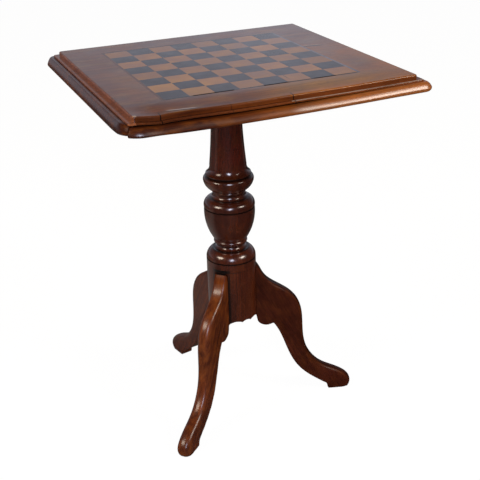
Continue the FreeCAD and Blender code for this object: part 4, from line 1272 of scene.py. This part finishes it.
    def hang(self, point: Vector) -> float:
        """Give the fall of the front length at a point.

        Args:
            point: A point of the moulding in mm.

        Returns:
            How far the point rises, in mm.
        """
        high = self.level(point)
        fall = follow(self.settle, point.x) * high + follow(self.belly, point.x) * (1.0 - high)
        return fall * ease(-point.y, *self.front_run)

    def tighten(self, point: Vector) -> float:
        """Give the rise of a side or back length towards the ledge at a point."""
        return self.tight * self.level(point) * (1.0 - ease(-point.y, *self.end_run))

    def curl(self, point: Vector) -> float:
        """Give the rise of the near end of a side length at a point."""
        return self.spring[int(point.x > 0.0)] * ease(-point.y, *self.end_run)

    def dress(self) -> None:
        """Shape the four lengths and put them in their finish."""
        for side in Side:
            self.dress_length(side)

    def dress_length(self, side: Side) -> None:
        """Shape one length and put it in its finish.

        Args:
            side: Where it is fixed.
        """
        along = side.way is Axis.X
        kept = side is Side.LEFT
        # Moulded, stained and french polished: one long highlight on the round, soft where worn.
        wood = Wood(
            name=f"moulded mahogany strip, french polished, {side.value}",
            shades=("#3e1809", "#4c1f0b", "#5c290e"), grain=side.way.value, ribbon=(280.0, 7.0),
            polish_rough=0.23 if kept else 0.32, patch="#7c4312", worn=0.45, spread=16.0,
            film=1.7 if kept else 1.95, stains=self.stains, dulled=self.dulled,
        )
        strip = Workpiece(f"moulding_{side.value}", Body.TOP, "moulding_mahogany")
        strip.score(self.scores[0 if along else 1])
        if side is Side.FRONT:
            strip.score(self.corner_scores)
        strip.shift(self.flatten)
        strip.shift(self.blunt)
        if side is not Side.FRONT:
            strip.lift(self.tighten)
        strip.lift(self.hang if along else self.curl)
        strip.paint(lambda _, normal: normal.z < self.downward)
        strip.place(wood.material(), bare(f"moulding_{side.value}", side.way).material())


@dataclass
class Inlay:
    """The squares and the dark line round them.

    Attributes:
        gaps: Where the front length of the line is painted black with wax and painted shade, in mm.
        front: How far back the front length goes, in mm.
        crack: The crack across two squares.
        golden: The yellowed polish at the near left.
        faded: The faded left and right lengths of the line.
        dulled: Where the polish of the front length has worn thin.
    """

    gaps: tuple[Span, ...] = ((-128.0, -56.0), (-1.0, 46.0), (92.0, 134.0))
    front: float = -177.0
    crack: Mark = Mark((55.0, -122.0, 720.0), (36.0, 0.8, 5.0), "#120a08", 88.5, 0.8)
    golden: Mark = Mark((-150.0, -130.0, 720.0), (75.0, 65.0, 5.0), "#b8882e", 0.0, 0.3, 0.9)
    faded: tuple[Mark, ...] = (
        Mark((-180.0, 0.0, 720.0), (4.0, 190.0, 5.0), "#6c4838", strength=0.9),
        Mark((180.0, 0.0, 720.0), (4.0, 190.0, 5.0), "#827c88", strength=0.85),
    )
    dulled: Mark = thinned((92.0, -180.0, 720.0), (94.0, 5.0, 5.0), 0.6)

    def loose(self, middle: Vector, _: Vector) -> bool:
        """Tell whether a face of the line, by its middle in mm, is painted black."""
        return middle.y < self.front and any(low < middle.x < high for low, high in self.gaps)

    def dress(self) -> None:
        """Put the inlay in its finish."""
        # Stained black and polished: blue-grey where the clouded polish mirrors the room.
        dark = Veneer(
            name="dark stained squares, polished and clouded",
            base="#251f29", cloud="#312a32", marks=(self.crack,),
        )
        # Pale wood under yellowed polish: warm tan, a little different in every square.
        light = Veneer(
            name="pale squares, polished and yellowed",
            base="#925c26", cloud="#ac7842", marks=(self.crack, self.golden), spread=0.18,
        )
        # Stained black and polished: a thin dark line, faded at the sides.
        line = Wood(
            name="ebonised line, polished",
            shades=("#221d1f", "#2a2527", "#332d2e"), ribbon=(90.0, 3.0), polish_rough=0.2,
            stains=self.faded, dulled=(self.dulled,),
        )
        Workpiece("dark_squares", Body.TOP, "dark_veneer").place(dark.material())
        Workpiece("light_squares", Body.TOP, "light_veneer").place(light.material())
        edging = Workpiece("stringing", Body.TOP, "ebonised_line")
        # The dark places of the front length: wax and painted shade in a gap.
        for start, end in self.gaps:
            edging.score(Scores(Axis.X, start, end, end - start))
        edging.paint(self.loose)
        edging.place(line.material(), WaxAndShade().material())


@dataclass
class TiltGear:
    """The block, its wedge and pins, the bearers under the boards, and the iron under the drum.

    Attributes:
        planed: The wooden pieces, what they move with and the way their grain runs.
        forged: The iron pieces and what they move with.
    """

    planed: tuple[tuple[str, Body, Axis], ...] = (
        ("tilt_block", Body.BASE, Axis.X),
        ("bearer_left", Body.TOP, Axis.Y),
        ("bearer_right", Body.TOP, Axis.Y),
    )
    forged: tuple[tuple[str, Body], ...] = (
        ("pivot_pins", Body.BASE),
        ("spider_plate", Body.BASE),
        ("spider_screws", Body.BASE),
        ("bearer_screws", Body.TOP),
    )

    def dress(self) -> None:
        """Put the gear in its finish."""
        for node, body, way in self.planed:
            Workpiece(node, body, "planed_mahogany").place(bare(node, way).material())
        # Riven and left bare: pale brown and dry, with coarse straight grain.
        oak = Wood(
            name="riven oak, bare",
            shades=("#5d4227", "#7d5d39", "#94734a"), grain=Axis.Z.value, ribbon=(60.0, 2.5),
            gloss=(0.55, 0.7), polish=0.0,
        )
        Workpiece("tenon_wedge", Body.BASE, "wedge_oak").place(oak.material())
        # Forged and never painted: nearly black, with a dull grey shine where rubbed.
        iron = Metal(
            name="wrought iron, dark with age",
            bright="#4a4644", tarnish="#241d1a", gloss=(0.42, 0.68), patch=14.0,
        ).material()
        for node, body in self.forged:
            Workpiece(node, body, "forged_iron").place(iron)


@dataclass
class SlideBolt:
    """The brass bolt that holds the top level.

    Attributes:
        cast: The brass pieces and what they move with.
    """

    cast: tuple[tuple[str, Body], ...] = (
        ("bolt_plate", Body.TOP),
        ("bolt_plate_screws", Body.TOP),
        ("bolt_bar", Body.BOLT),
        ("bolt_knob", Body.BOLT),
        ("bolt_keep", Body.BASE),
        ("keep_screws", Body.BASE),
    )

    def dress(self) -> None:
        """Put the bolt in its finish."""
        # Cast, filed and dulled: a soft yellow shine between brown patches.
        brass = Metal(
            name="cast and filed brass, dulled",
            bright="#b08d4a", tarnish="#6e5429", gloss=(0.28, 0.5), patch=9.0,
        ).material()
        for node, body in self.cast:
            Workpiece(node, body, "cast_brass").place(brass)


@dataclass
class Lamp:
    """A soft studio lamp with a rounded face.

    Attributes:
        name: Where it stands.
        azimuth: The way to it, in degrees, with 0 towards the front.
        height: Its angle above the level, in degrees.
        width: Its width in metres.
        tall: Its height in metres.
        power: Its power in watts.
        code: The colour of its light.
        reach: Its distance from what it is turned to, in metres.
        aim: What it is turned to, in metres.
    """

    name: str
    azimuth: float
    height: float
    width: float
    tall: float
    power: float
    code: str
    reach: float = 3.5
    aim: Point = (0.0, 0.0, 0.5)

    def build(self) -> None:
        """Stand the lamp and turn it to its aim."""
        way, up = math.radians(self.azimuth), math.radians(self.height)
        out = Vector((math.sin(way) * math.cos(up), -math.cos(way) * math.cos(up), math.sin(up)))
        data = bpy.data.lights.new(self.name, "AREA")
        data.shape = "ELLIPSE"
        data.size = self.width
        data.size_y = self.tall
        data.energy = self.power
        data.color = linear(self.code)[:3]
        lamp = bpy.data.objects.new(self.name, data)
        lamp.location = Vector(self.aim) + out * self.reach
        lamp.rotation_euler = out.to_track_quat("Z", "Y").to_euler()
        bpy.context.scene.collection.objects.link(lamp)


@dataclass
class Studio:
    """The white room: floor, world, lamps and camera.

    Attributes:
        lamps: The lamps.
        place: Where the camera stands, in metres.
        right: The way to the right of its picture.
        up: The way up in its picture.
        back: The way from what it looks at to the camera.
        lens: Its focal length in mm.
        sensor: The width of its picture in mm.
        heights: The light of the walls by height, from the level to overhead.
        widths: The light of the walls from the left to the right.
        middle: What is added to a place across, so that the widths start at 0.
        sheen: How bright the floor is in a polished face, by its distance behind the table.
        floor: Half the width of the floor in metres.
        glow: How bright the floor is where nothing shades it.
        clear: How much of the floor's shadow is hidden from the camera.
    """

    lamps: tuple[Lamp, ...] = (
        Lamp("lamp_left", -82.0, 36.0, 1.4, 1.1, 46.0, "#ffeeda"),
        Lamp("lamp_camera", -18.0, 25.0, 0.9, 1.3, 46.0, "#e2e8ff"),
        Lamp("lamp_right", 42.0, 36.9, 1.4, 1.1, 57.0, "#fff2e4", aim=(0.2, -0.26, 0.70)),
    )
    place: Point = (-0.6246, -1.5675, 1.1392)
    right: Point = (0.9194, -0.3924, -0.0283)
    up: Point = (0.1883, 0.3758, 0.9074)
    back: Point = (-0.3454, -0.8395, 0.4194)
    lens: float = 69.75
    sensor: float = 36.0
    heights: Stations = ((0.18, 1.0), (0.25, 0.5), (0.38, 0.44), (0.75, 0.1))
    widths: Stations = (
        (0.25, 0.45), (0.5, 0.62), (0.73, 0.84), (0.8, 1.0),
        (0.86, 0.88), (0.94, 0.52),
    )
    middle: float = 0.4
    sheen: Stations = ((0.0, 0.06), (0.3, 0.36), (0.6, 0.32), (0.95, 0.15))
    floor: float = 30.0
    glow: float = 1.05
    clear: float = 0.92

    def build(self) -> None:
        """Set up the room."""
        bpy.context.scene.view_settings.view_transform = "Standard"
        self.build_world()
        self.build_floor()
        for lamp in self.lamps:
            lamp.build()
        self.build_camera()

    def build_world(self) -> None:
        """Light the room softly, brightest behind the table and to its right, on white."""
        world = bpy.data.worlds.new("white room")
        world.use_nodes = True
        world.node_tree.nodes.clear()
        bpy.context.scene.world = world
        add = partial(add_node, world.node_tree)
        x, y, z = add("SeparateXYZ", {0: add("TexCoord", out="Generated")}).node.outputs
        light = add(
            "MapRange",
            {"Value": y, "From Min": -0.2, "From Max": 0.8, "To Min": 0.05, "To Max": 0.84},
            interpolation_type="SMOOTHSTEP",
        )
        across = add("Math", {0: x, 1: self.middle}, operation="ADD")
        for place, stations in ((z, self.heights), (across, self.widths)):
            share = add("ValToRGB", {0: place}, stops=greys(stations))
            light = add("Math", {0: light, 1: share}, operation="MULTIPLY")
        mirrored = add("Background", {"Color": linear("#eaeeff"), "Strength": light})
        even = add("Background", {"Color": linear("#fff8f0"), "Strength": 0.2})
        white = add("Background", {"Color": WHITE, "Strength": 1.0})
        ray = add("LightPath").node.outputs
        soft = add("MixShader", {0: ray["Is Glossy Ray"], 1: even, 2: mirrored})
        shown = add("MixShader", {0: ray["Is Camera Ray"], 1: soft, 2: white})
        add("OutputWorld", {"Surface": shown})

    def build_floor(self) -> None:
        """Lay a white floor that keeps a faint shadow."""
        mesh = bpy.data.meshes.new("floor")
        plane = bmesh.new()
        bmesh.ops.create_grid(plane, x_segments=1, y_segments=1, size=self.floor)
        plane.to_mesh(mesh)
        plane.free()
        # Rolled on and matt: an even white that only shows the shadow of the feet.
        material, add, coord = new_material("white floor paint, matt")
        ray = add("LightPath").node.outputs
        x, y, _ = add("SeparateXYZ", {0: coord}).node.outputs
        behind = add("ValToRGB", {0: y}, stops=greys(self.sheen))
        left = add(
            "MapRange",
            {"Value": x, "From Min": -0.2, "From Max": 0.15, "To Min": 1.0, "To Max": 0.3},
            interpolation_type="SMOOTHSTEP",
        )
        sheen = add("Math", {0: behind, 1: left}, operation="MULTIPLY")
        seen = {0: ray["Is Glossy Ray"], 6: (0.8, 0.8, 0.8, 1.0), 7: sheen}
        paint = add("BsdfDiffuse", {"Color": add("Mix", seen, out=2, data_type="RGBA")})
        glow = add("Emission", {"Color": WHITE, "Strength": self.glow})
        share = add("Math", {0: ray["Is Camera Ray"], 1: self.clear}, operation="MULTIPLY")
        add("OutputMaterial", {"Surface": add("MixShader", {0: share, 1: paint, 2: glow})})
        mesh.materials.append(material)
        floor = bpy.data.objects.new("floor", mesh)
        bpy.context.scene.collection.objects.link(floor)

    def build_camera(self) -> None:
        """Stand the camera where the photo was taken."""
        data = bpy.data.cameras.new("camera")
        data.sensor_width = self.sensor
        data.lens = self.lens
        camera = bpy.data.objects.new("camera", data)
        turn = Matrix((self.right, self.up, self.back)).transposed()
        camera.matrix_world = Matrix.Translation(self.place) @ turn.to_4x4()
        bpy.context.scene.collection.objects.link(camera)
        bpy.context.scene.camera = camera


def main() -> None:
    """Dress the whole table and set up the room."""
    logging.basicConfig(level=logging.INFO, format="%(name)s: %(message)s")
    for assembly in (Pillar(), Legs(), Boards(), Mouldings(), Inlay(), TiltGear(), SlideBolt()):
        assembly.dress()
    Studio().build()


if __name__ == "__main__":
    main()
